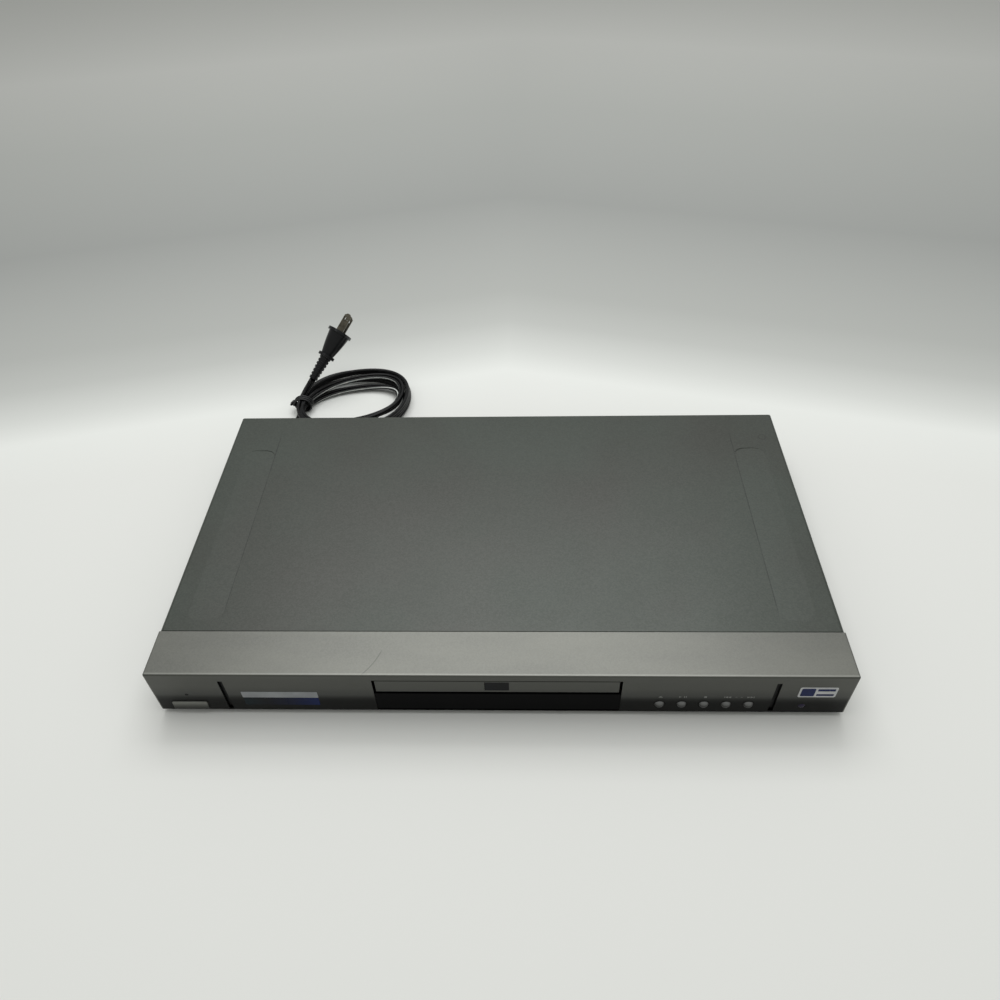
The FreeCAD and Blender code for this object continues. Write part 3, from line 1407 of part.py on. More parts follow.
def traverse_plate():
    plate = rounded_block(traverse_left_x, traverse_half_width, traverse_front_depth, traverse_rear_depth,
                          traverse_bottom, traverse_top, 4.0, V(0, 0, 1))
    rim = rounded_block(traverse_left_x, traverse_half_width, traverse_front_depth, traverse_rear_depth,
                        traverse_bottom - traverse_rim, traverse_bottom + 0.5, 4.0, V(0, 0, 1))
    rim_room = rounded_block(traverse_left_x + 2, traverse_half_width - 2, traverse_front_depth + 2,
                             traverse_rear_depth - 2, traverse_bottom - traverse_rim - 1, traverse_bottom + 1,
                             2.5, V(0, 0, 1))
    window = block(sled_window_left, sled_window_right, sled_window_front, sled_window_rear,
                   traverse_bottom - 6, traverse_top + 1)
    plate = joined([plate, rim.cut(rim_room)])
    seat = upright(0, spindle_depth, traverse_bottom - 1, traverse_top + 1, spindle_motor_radius + 0.1)
    plate = cut_all(plate, [window, seat])
    pin = rearward(cam_pin_x, pin_height, cam_depth - 0.8, traverse_front_depth + 1, cam_pin_radius)
    arm = block(traverse_half_width - 2, bearing_inner - 0.4, pivot_depth - 5, pivot_depth + 2.6,
                pivot_height - 2.6, traverse_top)
    bar = block(-traverse_half_width + 1, traverse_half_width - 1, traverse_rear_depth - 3, pivot_depth + 2.6,
                traverse_bottom - 1, traverse_top)
    axle = sideways(pivot_depth, pivot_height, traverse_half_width - 1, bearing_outer - 0.4, pivot_radius)
    holders = []
    for x in (-rod_x, rod_x):
        for near, far in ((sled_window_front - 6, sled_window_front), (sled_window_rear, sled_window_rear + 4)):
            holders.append(block(x - 3, x + 3, near, far, rod_height - 3, traverse_bottom + 0.5))
    plate = joined([plate, pin, bar] + both_sides(arm) + both_sides(axle) + holders)
    bores = [rearward(x, rod_height, sled_window_front - 3, sled_window_rear + 3, rod_radius + 0.02)
             for x in (-rod_x, rod_x)]
    screw_seat = rearward(screw_x, rod_height, sled_window_front - 3, sled_window_front + 1, screw_radius + 0.06)
    screw_holder = block(screw_x - 3, screw_x + 3, sled_window_front - 5, sled_window_front, rod_height - 3,
                         traverse_bottom + 0.5)
    plate = joined([plate, screw_holder])
    return cut_all(plate, bores + [screw_seat])


def guide_rods():
    return group([rearward(x, rod_height, sled_window_front - 3, sled_window_rear + 3, rod_radius)
                  for x in (-rod_x, rod_x)])


spindle_top = traverse_top + 1.0
disc_plane = disc_floor + disc_lift


def spindle_motor():
    bottom = spindle_top - spindle_motor_tall
    body = upright(0, spindle_depth, bottom, spindle_top, spindle_motor_radius)
    body = round_edges(body, 1.0, lambda edge: edge.CenterOfMass.z < bottom + 0.01)
    plate = upright(0, spindle_depth, traverse_bottom - 1.2, traverse_bottom, spindle_motor_radius + spindle_flange)
    shaft = upright(0, spindle_depth, spindle_top, disc_plane, 1.0)
    return joined([body, plate, shaft])


def turntable():
    seat = upright(0, spindle_depth, disc_plane - turntable_sheet, disc_plane, turntable_radius)
    hub = upright_cone(0, spindle_depth, disc_plane, disc_plane + turntable_hub_tall, turntable_hub_radius,
                       turntable_hub_radius - 1.6)
    neck = upright(0, spindle_depth, spindle_top + gear_seat_gap, disc_plane, 5.0)
    groove = upright(0, spindle_depth, disc_plane - 0.4, disc_plane + 0.1, turntable_radius - 1)
    groove = groove.cut(upright(0, spindle_depth, disc_plane - 1, disc_plane + 1, turntable_radius - 4))
    bore = upright(0, spindle_depth, spindle_top - 1, disc_plane + 0.5, 1.06)
    return cut_all(joined([seat, hub, neck]), [groove, bore])


def clamper():
    low = disc_plane + turntable_hub_tall + clamper_gap
    top = bridge_top + clamper_gap + clamper_flange
    boss = upright(0, spindle_depth, low, top, clamper_radius)
    flange = upright(0, spindle_depth, bridge_top + clamper_gap, top, clamper_flange_radius)
    pocket = upright(0, spindle_depth, low + 1.6, top + 1, 6.2)
    relief = upright(0, spindle_depth, low - 1, low + 0.8, 9.0)
    ring = upright(0, spindle_depth, low + 1.6, top + 1, clamper_radius - 1.6)
    ring = ring.cut(upright(0, spindle_depth, low, top + 2, 8.0))
    body = cut_all(joined([boss, flange]), [pocket, relief, ring])
    spokes = []
    for index in range(3):
        spoke = block(7.5, clamper_radius - 1, spindle_depth - 0.8, spindle_depth + 0.8, low + 1, top)
        spoke.rotate(V(0, spindle_y, 0), V(0, 0, 1), 120 * index)
        spokes.append(spoke)
    return joined([body] + spokes)


def clamp_magnet():
    low = disc_plane + turntable_hub_tall + clamper_gap + 1.6
    magnet = upright(0, spindle_depth, low, low + 2.4, 6.1)
    return magnet.cut(upright(0, spindle_depth, low - 1, low + 4, 2.0))


lens_holder_bottom = sled_bottom + sled_tall - 1.0


def pickup_sled():
    """The optical pickup's cast body: bushed on the left rod, forked round the right one."""
    near, far = lens_depth - sled_length / 2, lens_depth + sled_length / 2
    top = sled_bottom + sled_tall
    body = block(-sled_half_width, sled_half_width, near, far, sled_bottom, top)
    body = round_edges(body, 3.0, lambda edge: is_along(edge, V(0, 0, 1)))
    sleeve = rearward(-rod_x, rod_height, near + 3, far - 3, rod_radius + 1.6)
    web = block(-rod_x, -sled_half_width + 1, near + 3, far - 3, rod_height - 1.6, rod_height + 1.6)
    fork = block(sled_half_width - 1, rod_x + 2, lens_depth - 4, lens_depth + 4, rod_height - rod_radius - 1.6,
                 rod_height + rod_radius + 1.6)
    gap = block(rod_x - rod_radius - 0.4, rod_x + 4, lens_depth - 5, lens_depth + 5,
                rod_height - rod_radius - 0.06, rod_height + rod_radius + 0.06)
    finger = block(screw_x + screw_radius + 0.3, -rod_x - 1, near + 3, near + 9, rod_height - 1.4,
                   rod_height + 1.4)
    sled = joined([body, sleeve, web, fork, finger])
    recess = block(-lens_square / 2 - 1.2, lens_square / 2 + 1.2, lens_depth - lens_square / 2 - 1.2,
                   lens_depth + lens_square / 2 + 1.2, lens_holder_bottom - lens_focus - 0.1, top + 1)
    bore = rearward(-rod_x, rod_height, near - 1, far + 1, rod_radius + rod_bore_gap)
    motor_room = upright(0, spindle_depth, sled_bottom - 1, top + 1, spindle_motor_radius + spindle_flange + 0.4)
    return cut_all(sled, [recess, gap, bore, motor_room])


def lens_holder():
    low, top = lens_holder_bottom, lens_holder_bottom + 2.6
    half = lens_square / 2
    holder = rounded_block(-half, half, lens_depth - half, lens_depth + half, low, top, 1.2, V(0, 0, 1))
    collar = upright(0, lens_depth, top - 0.1, top + 0.6, 3.2)
    dome = Part.makeSphere(3.6, V(0, y_at(lens_depth), top - 2.0)).common(
        upright(0, lens_depth, top, top + 3, 2.3))
    coils = [block(-half + 1, half - 1, lens_depth + side * (half + 0.35) - 0.35,
                   lens_depth + side * (half + 0.35) + 0.35, low + 0.4, low + 2.0) for side in (-1, 1)]
    return joined([holder, collar, dome] + coils)


def lead_screw():
    start = sled_window_front - 3
    shaft = rearward(screw_x, rod_height, start, start + screw_length, screw_radius)
    collars = [rearward(screw_x, rod_height, start + 5, start + 6, screw_radius + 1),
               rearward(screw_x, rod_height, start + screw_length - 1.5, start + screw_length - 0.3, screw_radius + 1)]
    return joined([shaft] + collars)


def sled_motor():
    start = sled_window_front - 3 + screw_length + 0.3
    end = sled_window_rear - 0.3
    body = rearward(screw_x, rod_height, start, end, sled_motor_radius)
    strap = block(screw_x - sled_motor_radius + 0.5, screw_x + sled_motor_radius - 0.5, end - 4,
                  traverse_rear_depth - 1, traverse_top, traverse_top + 1)
    return joined([body, strap])


def traverse_bushes():
    """Soft rubber bushes pressed round the front of the traverse's suspension."""
    shapes = []
    depth = traverse_front_depth + grommet_setback
    top = traverse_top + grommet_tall
    for x in (-traverse_half_width + grommet_inset, traverse_half_width - grommet_inset):
        ring = upright(x, depth, traverse_top, top, grommet_radius)
        shapes.append(ring.cut(upright(x, depth, traverse_top - 1, top + 1, grommet_bore)))
    return group(shapes)


# Lead, coil and plug
coil_low = lead_radius + coil_lift
coil_high = coil_low + 2 * lead_radius + 0.6
coil_left = lead_x + coil_side_shift
coil_right = coil_left + coil_width
coil_near = casing_depth + coil_rear_gap
coil_far = coil_near + coil_length
lead_start = rear_face_depth + bush_tail - 1

lead_route = [
    (lead_x, lead_start, lead_height),
    (lead_x, coil_near + 12.0, lead_height),
    (lead_x + 1.6, coil_near + 26.0, 8.4),
    (coil_left, coil_near + 39.0, coil_low),
    (coil_left, coil_near + 50.0, coil_low),
]
coil_pitch = 7.5
coil_far_pitch = 13.0
coil_upper_insets = (12.4, 6.5, 3.2, 0.0)


def coil_end(side, turn, inset, height):
    """The left, far, right or near end of a turn, drawn in from the outermost by whole pitches and an inset."""
    left = coil_left + coil_pitch * turn
    right = coil_right - coil_pitch * turn
    far = coil_far - coil_far_pitch * turn
    near = coil_near + coil_pitch * turn
    middle_x, middle_depth = (left + right) / 2, (far + near) / 2
    ends = [(left + inset, middle_depth), (middle_x, far - inset), (right - inset, middle_depth),
            (middle_x, near + inset)]
    x, depth = ends[side]
    return x, depth, height


def coil_ends():
    """Two and a quarter turns in on the floor, half a turn of climb, then two turns out again on top."""
    lower = [coil_end(quarter % 4, quarter // 4, 0.0, coil_low) for quarter in range(10)]
    climb = [coil_end(2, 2, 4.0, (coil_low + coil_high) / 2), coil_end(3, 2, 0.0, coil_high)]
    upper = [coil_end(quarter % 4, 1 - quarter // 4, coil_upper_insets[quarter % 4], coil_high)
             for quarter in range(8)]
    return lower + climb + upper


tail_route = [
    (coil_end(3, 0, 0.0, coil_high)[0], coil_near, coil_high),
    (coil_left + 36.5, coil_near, coil_high),
    (coil_left + 23.5, coil_near + 3.5, coil_high),
    (coil_left + 13.0, coil_near + 11.5, coil_high),
    (coil_left + 6.0, coil_near + 23.0, coil_high),
    (coil_left + 3.4, coil_near + 36.5, coil_high),
    (coil_left + 7.0, coil_near + 49.4, coil_high + 3.8),
    (coil_left + 14.1, coil_near + 58.2, coil_high + 12.1),
]


def route_points(route):
    return [V(x, y_at(depth), z) for x, depth, z in route]


def tube_path(name, route):
    """Straight runs joined by tangent arcs, each as large as its two runs allow."""
    points = route_points(route)
    edges = []
    radii = []
    here = points[0]
    length = 0.0
    for before, corner, after in zip(points, points[1:], points[2:]):
        first, second = corner - before, after - corner
        shorter = min(first.Length, second.Length)
        into, out = V(first).normalize(), V(second).normalize()
        turn = math.acos(max(-1.0, min(1.0, into.dot(out))))
        trim = 0.45 * shorter
        radius = trim / math.tan(turn / 2)
        start, end = corner - into * trim, corner + out * trim
        inward = V(out - into).normalize()
        middle = corner + inward * (radius / math.cos(turn / 2) - radius)
        edges.append(Part.LineSegment(here, start).toShape())
        edges.append(Part.Arc(start, middle, end).toShape())
        radii.append(round(radius, 1))
        length += (start - here).Length + radius * turn
        here = end
    edges.append(Part.LineSegment(here, points[-1]).toShape())
    length += (points[-1] - here).Length
    print(name, "arc radii", radii, "length", round(length, 1))
    return edges, length


def swept_tube(name, edges, length):
    path = Part.Wire(edges)
    start = edges[0].valueAt(edges[0].FirstParameter)
    heading = edges[0].tangentAt(edges[0].FirstParameter)
    section = Part.Wire([Part.makeCircle(lead_radius, start, heading)])
    shell = path.makePipeShell([section], True, False)
    area = math.pi * lead_radius ** 2
    print(name, "volume over section times length", round(shell.Volume / (area * length), 4))
    return shell


def biarc(start, start_way, end, end_way):
    """Two arcs, tangent to each other and to the given ways at their ends."""
    gap = end - start
    ways = start_way + end_way
    a = 2 * (start_way.dot(end_way) - 1)
    b = -2 * gap.dot(ways)
    c = gap.dot(gap)
    reach = -c / b if abs(a) < 1e-9 else (-b - math.sqrt(b * b - 4 * a * c)) / (2 * a)
    first_corner, second_corner = start + start_way * reach, end - end_way * reach
    joint = (first_corner + second_corner) * 0.5
    edges = []
    total = 0.0
    radii = []
    for from_point, corner, to_point in ((start, first_corner, joint), (joint, second_corner, end)):
        into, out = V(corner - from_point).normalize(), V(to_point - corner).normalize()
        turn = math.acos(max(-1.0, min(1.0, into.dot(out))))
        radius = reach / math.tan(turn / 2)
        inward = V(out - into).normalize()
        middle = corner + inward * (radius / math.cos(turn / 2) - radius)
        edges.append(Part.Arc(from_point, middle, to_point).toShape())
        total += radius * turn
        radii.append(radius)
    return edges, total, radii


def coil_edges():
    """The coil: quarter turns through the ends listed above, with a short straight at each end."""
    ways = [V(0, 1, 0), V(1, 0, 0), V(0, -1, 0), V(-1, 0, 0)]
    points = route_points(coil_ends())
    climb = V(0, -1, 0.13).normalize()
    headings = [climb if index == 10 else ways[index % 4] for index in range(len(points))]
    straight = 2 * lead_radius
    first, last = points[0], points[-1]
    edges = [Part.LineSegment(first, first + headings[0] * straight).toShape()]
    points[0] = first + headings[0] * straight
    points[-1] = last - headings[-1] * straight
    length = 2 * straight
    tightest = 1e9
    for index in range(len(points) - 1):
        arcs, total, radii = biarc(points[index], headings[index], points[index + 1], headings[index + 1])
        edges += arcs
        length += total
        tightest = min([tightest] + radii)
    edges.append(Part.LineSegment(points[-1], last).toShape())
    print("coil tightest radius", round(tightest, 1), "length", round(length, 1))
    return edges, length


def least_gap(edges, own_reach):
    """The least gap of the coiled lead to itself, on points along its centre line."""
    samples = []
    travelled = 0.0
    for edge in edges:
        count = max(2, int(edge.Length / 2))
        for index in range(count):
            point = edge.valueAt(edge.FirstParameter + (edge.LastParameter - edge.FirstParameter) * index / count)
            samples.append((travelled + edge.Length * index / count, point))
        travelled += edge.Length
    least = 1e9
    for index, (along, point) in enumerate(samples):
        for other_along, other in samples[index + 1:]:
            if other_along - along > own_reach:
                least = min(least, point.distanceToPoint(other))
    return least - 2 * lead_radius


def lead_coil():
    edges, length = coil_edges()
    print("coil least gap to itself", round(least_gap(edges, 40.0), 2))
    return swept_tube("coil", edges, length)


def lead_run(name, route):
    edges, length = tube_path(name, route)
    return swept_tube(name, edges, length)


tie_depth = coil_near + 36.0
tie_width = 4.0
tie_sheet = 0.6
tie_left = coil_left - 7.0
tie_right = coil_left + 27.5
tie_low = 0.05
tie_high = coil_high + lead_radius + 1.9


def lead_tie():
    near, far = tie_depth - tie_width / 2, tie_depth + tie_width / 2
    outer = rounded_block(tie_left, tie_right, near, far, tie_low, tie_high, 4.0, V(0, 1, 0))
    inner = rounded_block(tie_left + tie_sheet, tie_right - tie_sheet, near - 1, far + 1, tie_low + tie_sheet,
                          tie_high - tie_sheet, 3.4, V(0, 1, 0))
    return outer.cut(inner)


# The plug carries on in line with the lead, and its blades' width lies across that line
plug_start = route_points(tail_route)[-1]
plug_axis = (plug_start - route_points(tail_route)[-2]).normalize()
plug_wide = V(0.848, -0.276, -0.433)
plug_wide = (plug_wide - plug_axis * plug_wide.dot(plug_axis)).normalize()
plug_flat = plug_axis.cross(plug_wide)


def plug_point(along, wide=0.0, flat=0.0):
    return plug_start + plug_axis * along + plug_wide * wide + plug_flat * flat


def plug_ring(along, radius_wide, radius_flat):
    """An oval across the plug. Its longer axis lies along whichever radius is larger."""
    centre = plug_point(along)
    axes = sorted([(radius_wide, plug_wide), (radius_flat, plug_flat)], key=lambda axis: -axis[0])
    tips = [centre + way * radius for radius, way in axes]
    return Part.Wire([Part.Ellipse(tips[0], tips[1], centre).toShape()])


def plug_body():
    """Ribbed strain relief, collar, tapered grip and oval flange, in one moulding."""
    start_radius = lead_radius + relief_notch_cut + 0.1
    relief = Part.makeCone(start_radius, relief_end_radius, relief_length, plug_point(0), plug_axis)
    core = Part.makeCone(start_radius - relief_notch_cut, relief_end_radius - relief_notch_cut, relief_length,
                         plug_point(0), plug_axis)
    notches = []
    for index in range(relief_notch_count):
        start = relief_notch_first + index * relief_notch_pitch
        ring = Part.makeCylinder(plug_collar_radius, relief_notch_width, plug_point(start), plug_axis)
        notches.append(ring.cut(core))
    collar = Part.makeCylinder(plug_collar_radius, plug_collar_sheet, plug_point(relief_length - 0.4), plug_axis)
    end = relief_length + plug_length
    grip = Part.makeLoft([plug_ring(relief_length + 2, 5.6, 5.3), plug_ring(relief_length + 10, 7.4, 6.8),
                          plug_ring(end - 2, 9.6, 9.0)], True, False)
    flange = Part.Face(plug_ring(end - plug_flange_sheet, 11.2, 12.5)).extrude(plug_axis * plug_flange_sheet)
    body = joined([cut_all(relief, notches), collar, grip, flange])
    slots = [blade(side, 0.05) for side in (-1, 1)]
    return cut_all(body, slots)


def blade(side, gap):
    """A flat contact blade with the hole near its tip."""
    root = relief_length + plug_length - blade_seat - gap
    half_w, half_t = blade_width / 2 + gap, blade_sheet / 2 + gap
    end = relief_length + plug_length + blade_length
    middle = side * blade_spacing / 2
    flat_low = middle - half_t
    corners = [(root, -half_w), (end - 2, -half_w), (end, -half_w + 2), (end, half_w - 2), (end - 2, half_w),
               (root, half_w)]
    face = outline_face([plug_point(along, wide, flat_low) for along, wide in corners])
    solid = face.extrude(plug_flat * (2 * half_t))
    hole = Part.makeCylinder(1.6, 4, plug_point(end - 5, 0, flat_low - 1), plug_flat)
    return solid if gap else solid.cut(hole)


def plug_blades():
    return group([blade(side, 0.0) for side in (-1, 1)])


def build():
    parts = {
        "chassis_base": chassis_base(),
        "rear_panel": rear_panel(),
        "top_cover": top_cover(),
        "front_panel": front_panel(),
        "display_window": display_window(),
        "display_module": display_module(),
        "standby_lamp_lens": standby_lamp_lens(),
        "remote_lens": remote_lens(),
        "front_board": front_board(),
        "front_board_parts": front_board_parts(),
        "front_ribbon": front_ribbon(),
        "main_board": main_board(),
        "main_board_parts": main_board_parts(),
        "power_board": power_board(),
        "power_board_parts": power_board_parts(),
        "power_transformer": power_transformer(),
        "heat_sink": heat_sink(),
        "feet": feet(),
        "cover_screws": cover_screws(),
        "loader_screws": loader_screws(),
        "board_screws": board_screws(),
        "jack_housings": jack_housings(),
        "jack_barrels": jack_barrels(),
        "super_video_socket": super_video_socket(),
        "optical_socket": optical_socket(),
        "loader_frame": loader_frame(),
        "clamp_bridge": clamp_bridge(),
        "loading_motor": loading_motor(),
        "loading_belt": loading_belt(),
        "tray": tray(),
        "tray_door": tray_door(),
        "loading_gear": loading_gear(),
        "pulley_gear": pulley_gear(),
        "motor_pulley": motor_pulley(),
        "cam_slider": cam_slider(),
        "traverse_plate": traverse_plate(),
        "traverse_bushes": traverse_bushes(),
        "guide_rods": guide_rods(),
        "spindle_motor": spindle_motor(),
        "sled_motor": sled_motor(),
        "turntable": turntable(),
        "clamper": clamper(),
        "clamp_magnet": clamp_magnet(),
        "pickup_sled": pickup_sled(),
        "lens_holder": lens_holder(),
        "lead_screw": lead_screw(),
        "power_button": power_button(),
        "lead_bush": lead_bush(),
        "lead_run": lead_run("lead", lead_route),
        "lead_coil": lead_coil(),
        "lead_tail": lead_run("tail", tail_route),
        "lead_tie": lead_tie(),
        "plug_body": plug_body(),
        "plug_blades": plug_blades(),
    }
    for index, x in enumerate(button_xs()):
        parts["round_button_" + str(index + 1)] = round_button(x)
    return parts


def main():
    os.makedirs("parts", exist_ok=True)
    print("overall height", overall_height, "front face at y", front_y)
    for name, shape in build().items():
        if not shape.isValid() or shape.Volume <= 0:
            print("check", name)
        shape.exportStep("parts/" + name + ".step")


main()
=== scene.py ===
# %% [markdown]
# # A slim disc player, dressed for its portrait
# The player is a wide, low box: a painted steel hood slides over a steel base, and a lacquered plastic
# front closes it. Behind it lies its mains lead, wound in a loose coil with the plug standing up.
# The shapes of the hard parts are already made and stay where they are. This script gives each of them
# its finish, and makes the flat two-core lead, the tie, the stickers and the small printed signs.

# %% Load the player and note its size
import math

import bmesh
import bpy
from mathutils import Matrix, Vector


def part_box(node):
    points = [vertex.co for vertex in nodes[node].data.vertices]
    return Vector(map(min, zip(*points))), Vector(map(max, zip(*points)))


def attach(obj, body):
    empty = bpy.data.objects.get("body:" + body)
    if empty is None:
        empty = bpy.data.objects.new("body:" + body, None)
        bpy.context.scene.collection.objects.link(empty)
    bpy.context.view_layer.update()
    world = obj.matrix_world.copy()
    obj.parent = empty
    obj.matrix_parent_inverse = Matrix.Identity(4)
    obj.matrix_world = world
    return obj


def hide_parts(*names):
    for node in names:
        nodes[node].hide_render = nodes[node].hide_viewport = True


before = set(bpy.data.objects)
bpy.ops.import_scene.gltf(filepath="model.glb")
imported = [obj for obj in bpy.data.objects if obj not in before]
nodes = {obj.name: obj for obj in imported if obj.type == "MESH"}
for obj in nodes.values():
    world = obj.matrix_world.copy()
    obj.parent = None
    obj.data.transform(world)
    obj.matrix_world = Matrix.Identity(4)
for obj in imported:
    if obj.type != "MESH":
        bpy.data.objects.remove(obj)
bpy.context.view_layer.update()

front_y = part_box("front_panel")[0][1]
print("parts:", len(nodes), "front face at y =", round(front_y, 5), "m")

# %% [markdown]
# Every size below is a real one in millimetres, because that is how the player would be measured on a
# bench. One function turns a place on the player into the scene's metres: x from the middle, the
# distance behind the front face, and the height above the shelf.

# %% Places and colours
mm = 0.001


def place(x, depth, z):
    """A point from millimetres: across, behind the front face, above the shelf."""
    return Vector((x * mm, front_y + depth * mm, z * mm))


def linear(code):
    """An sRGB hex colour as the linear RGBA that the shaders want."""
    channels = [int(code[start:start + 2], 16) / 255 for start in (1, 3, 5)]
    return [c / 12.92 if c <= 0.04045 else ((c + 0.055) / 1.055) ** 2.4 for c in channels] + [1.0]


lamp_lens = place(-193.6, 0, 21.4)
print("the lamp's lens sits at", [round(v, 4) for v in lamp_lens])

# %% [markdown]
# ## Camera
# The photograph looks down on the player from just in front of it, at about 45 degrees. The corners of
# the hood and of the front give the camera's place, its direction and its lens, so the camera is put
# there as three axes and a point. A normal lens on a 36 mm wide sensor needs no shift.

# %% Camera
camera_data = bpy.data.cameras.new("camera")
camera_data.sensor_width = 36.0
camera_data.lens = 29.143
camera = bpy.data.objects.new("camera", camera_data)
bpy.context.scene.collection.objects.link(camera)
camera_right = Vector((0.99941029, 0.02164474, -0.02665677))
camera_up = Vector((0.00360779, 0.70582463, 0.70837742))
camera_back = Vector((0.03414765, -0.70805585, 0.70533031))
camera_place = Vector((0.019192, -0.392868, 0.457992))
turn = Matrix((camera_right, camera_up, camera_back)).transposed()
camera.matrix_world = Matrix.Translation(camera_place) @ turn.to_4x4()
bpy.context.scene.camera = camera
print("camera looks down", round(math.degrees(math.asin(camera_back.z)), 1), "degrees")

# %% [markdown]
# ## How a finish is built
# A finish starts as one Principled shader with the values of the real material. Then come nodes for
# what the eye reads as that material: flakes, grain, a brush's lines, dust. One small function adds a
# node, sets it and links it, which keeps each finish a short list of steps.

# %% Finish helpers
def new_finish(name, colour, roughness, metallic=0.0, **sockets):
    """A material and its Principled shader, with its constants set on the shader's own sockets."""
    material = bpy.data.materials.new(name)
    material.use_nodes = True
    shader = material.node_tree.nodes["Principled BSDF"]
    shader.inputs["Base Color"].default_value = linear(colour)
    shader.inputs["Roughness"].default_value = roughness
    shader.inputs["Metallic"].default_value = metallic
    for socket, value in sockets.items():
        shader.inputs[socket.replace("_", " ")].default_value = value
    material.diffuse_color = linear(colour)
    return material, shader


def add_node(owner, kind, values=None, links=None, **settings):
    """Adds a node to a material or the world: settings, then socket values, then links into it."""
    node = owner.node_tree.nodes.new(kind)
    for name, value in settings.items():
        setattr(node, name, value)
    for socket, value in (values or {}).items():
        node.inputs[socket].default_value = value
    for socket, source in (links or {}).items():
        owner.node_tree.links.new(source, node.inputs[socket])
    return node


def object_place(material):
    """The point on the part in metres, in the player's own frame."""
    return add_node(material, "ShaderNodeTexCoord").outputs["Object"]


def coordinate(material, axis):
    """One coordinate of that point: "X" across, "Y" from front to rear, "Z" upward."""
    return add_node(material, "ShaderNodeSeparateXYZ", links={"Vector": object_place(material)}).outputs[axis]


def blend(owner, factor, first, second, shader=None):
    """Mixes two colours by a factor; each is a constant or a node's output. May feed the shader's base."""
    values, links = {}, {0: factor}
    for socket, colour in ((6, first), (7, second)):
        (values if isinstance(colour, list) else links)[socket] = colour
    mixed = add_node(owner, "ShaderNodeMix", values, links, data_type="RGBA").outputs[2]
    if shader is not None:
        owner.node_tree.links.new(mixed, shader.inputs["Base Color"])
    return mixed


def step(material, value, start, end):
    """Rises smoothly from 0 at start to 1 at end as a node's value grows."""
    return add_node(material, "ShaderNodeMapRange", {"From Min": start, "From Max": end}, {"Value": value},
                    interpolation_type="SMOOTHSTEP").outputs["Result"]


def set_tones(ramp, tones):
    """Puts colours at places from 0 to 1 along a node's ramp of colours. Returns its colour."""
    elements = ramp.color_ramp.elements
    for element, (position, code) in zip(elements, (tones[0], tones[-1])):
        element.position, element.color = position, linear(code)
    for position, code in tones[1:-1]:
        elements.new(position).color = linear(code)
    return ramp.outputs["Color"]


def lumps(material, cell, detail=2.0, stretch=(1.0, 1.0, 1.0)):
    """Soft noise whose lumps are about one cell wide, in mm, and longer where the stretch is under 1."""
    scaled = add_node(material, "ShaderNodeVectorMath", {1: stretch}, {0: object_place(material)},
                      operation="MULTIPLY")
    return add_node(material, "ShaderNodeTexNoise", {"Scale": 1 / (cell * mm), "Detail": detail},
                    {"Vector": scaled.outputs[0]}).outputs["Fac"]


def cell_values(material, size):
    """Random values from 0 to 1 that stay the same all over each cell of a size in mm."""
    cells = add_node(material, "ShaderNodeTexVoronoi", {"Scale": 1 / (size * mm)},
                     {"Vector": object_place(material)})
    return add_node(material, "ShaderNodeSeparateColor", links={"Color": cells.outputs["Color"]}).outputs


def roughen(material, shader, cell, relief, stretch=(1.0, 1.0, 1.0)):
    """A fine relief: cell is the size of its bumps in mm, relief their depth in mm."""
    bump = add_node(material, "ShaderNodeBump", {"Strength": 1.0, "Distance": relief * mm},
                    {"Height": lumps(material, cell, stretch=stretch)})
    material.node_tree.links.new(bump.outputs["Normal"], shader.inputs["Normal"])


def mottle(material, shader, colour, other, cell, stretch=(1.0, 1.0, 1.0)):
    """Two near colours in soft patches of a given size in mm. Returns the mixed colour."""
    noise_low, noise_high = 0.35, 0.65
    patches = add_node(material, "ShaderNodeMapRange", {"From Min": noise_low, "From Max": noise_high},
                       {"Value": lumps(material, cell, 3.0, stretch)})
    return blend(material, patches.outputs["Result"], linear(colour), linear(other), shader)


def grained_finish(name, colour, roughness, metallic, patches, grain=None, **sockets):
    """A finish in patches (two colours and their size) under a fine grain (its size and its depth)."""
    material, shader = new_finish(name, colour, roughness, metallic, **sockets)
    mottle(material, shader, *patches)
    if grain:
        roughen(material, shader, *grain)
    return material


print("finish helpers ready")

# %% [markdown]
# ## The mains lead
# The lead is a flat two-core cable: two round cores side by side in soft black vinyl, 6 mm across and
# 3.2 mm thick, with a groove down the middle where it can be split. One core carries a thin pale line of
# painted highlight. The lead leaves the back through its bush, drops to the shelf and goes round in
# slanted loops that a twist of coated wire gathers on the left. It could be drawn by hand as one long
# curve, but its loops change evenly, so a formula works them out, and only the free stretches at both
# ends are points given one by one.

# %% The lead's route
lead_width = 6.0
core_radius = 1.6
low_layer, high_layer = 3.9, 10.5
points_a_turn = 16
oval_fullness = 0.9
lead_route = [(-194.0, 267.2, 14.0), (-192.6, 273.2, 12.4), (-189.2, 279.4, 8.8), (-185.8, 285.6, 5.2),
              (-184.2, 293.0, 3.9), (-185.4, 302.0, 3.9)]
tail_route = [(-152.5, 268.6, 10.5), (-165.5, 271.5, 10.5), (-176.0, 279.5, 10.5), (-183.0, 291.0, 10.5),
              (-185.8, 304.5, 10.5), (-182.0, 317.4, 14.3), (-174.9, 326.2, 22.6)]
# One row for the start of each turn, at its left: middle x and depth, half width, half depth, slant
turns = [
    (-136.8, 318.0, 50.6, 47.0, 0.06),
    (-137.5, 313.0, 47.0, 43.0, 0.15),
    (-139.0, 300.0, 46.0, 35.5, 0.10),
    (-141.0, 313.0, 41.0, 28.0, 0.38),
    (-136.0, 312.0, 47.0, 37.5, 0.12),
    (-137.0, 317.0, 49.0, 50.0, 0.02),
]
climb_starts, climb_takes = 2.25, 0.5  # in turns


def rounded_power(value):
    """Keeps the sign and raises the size to a power under 1, which fills out an oval's shoulders."""
    return math.copysign(abs(value) ** oval_fullness, value)


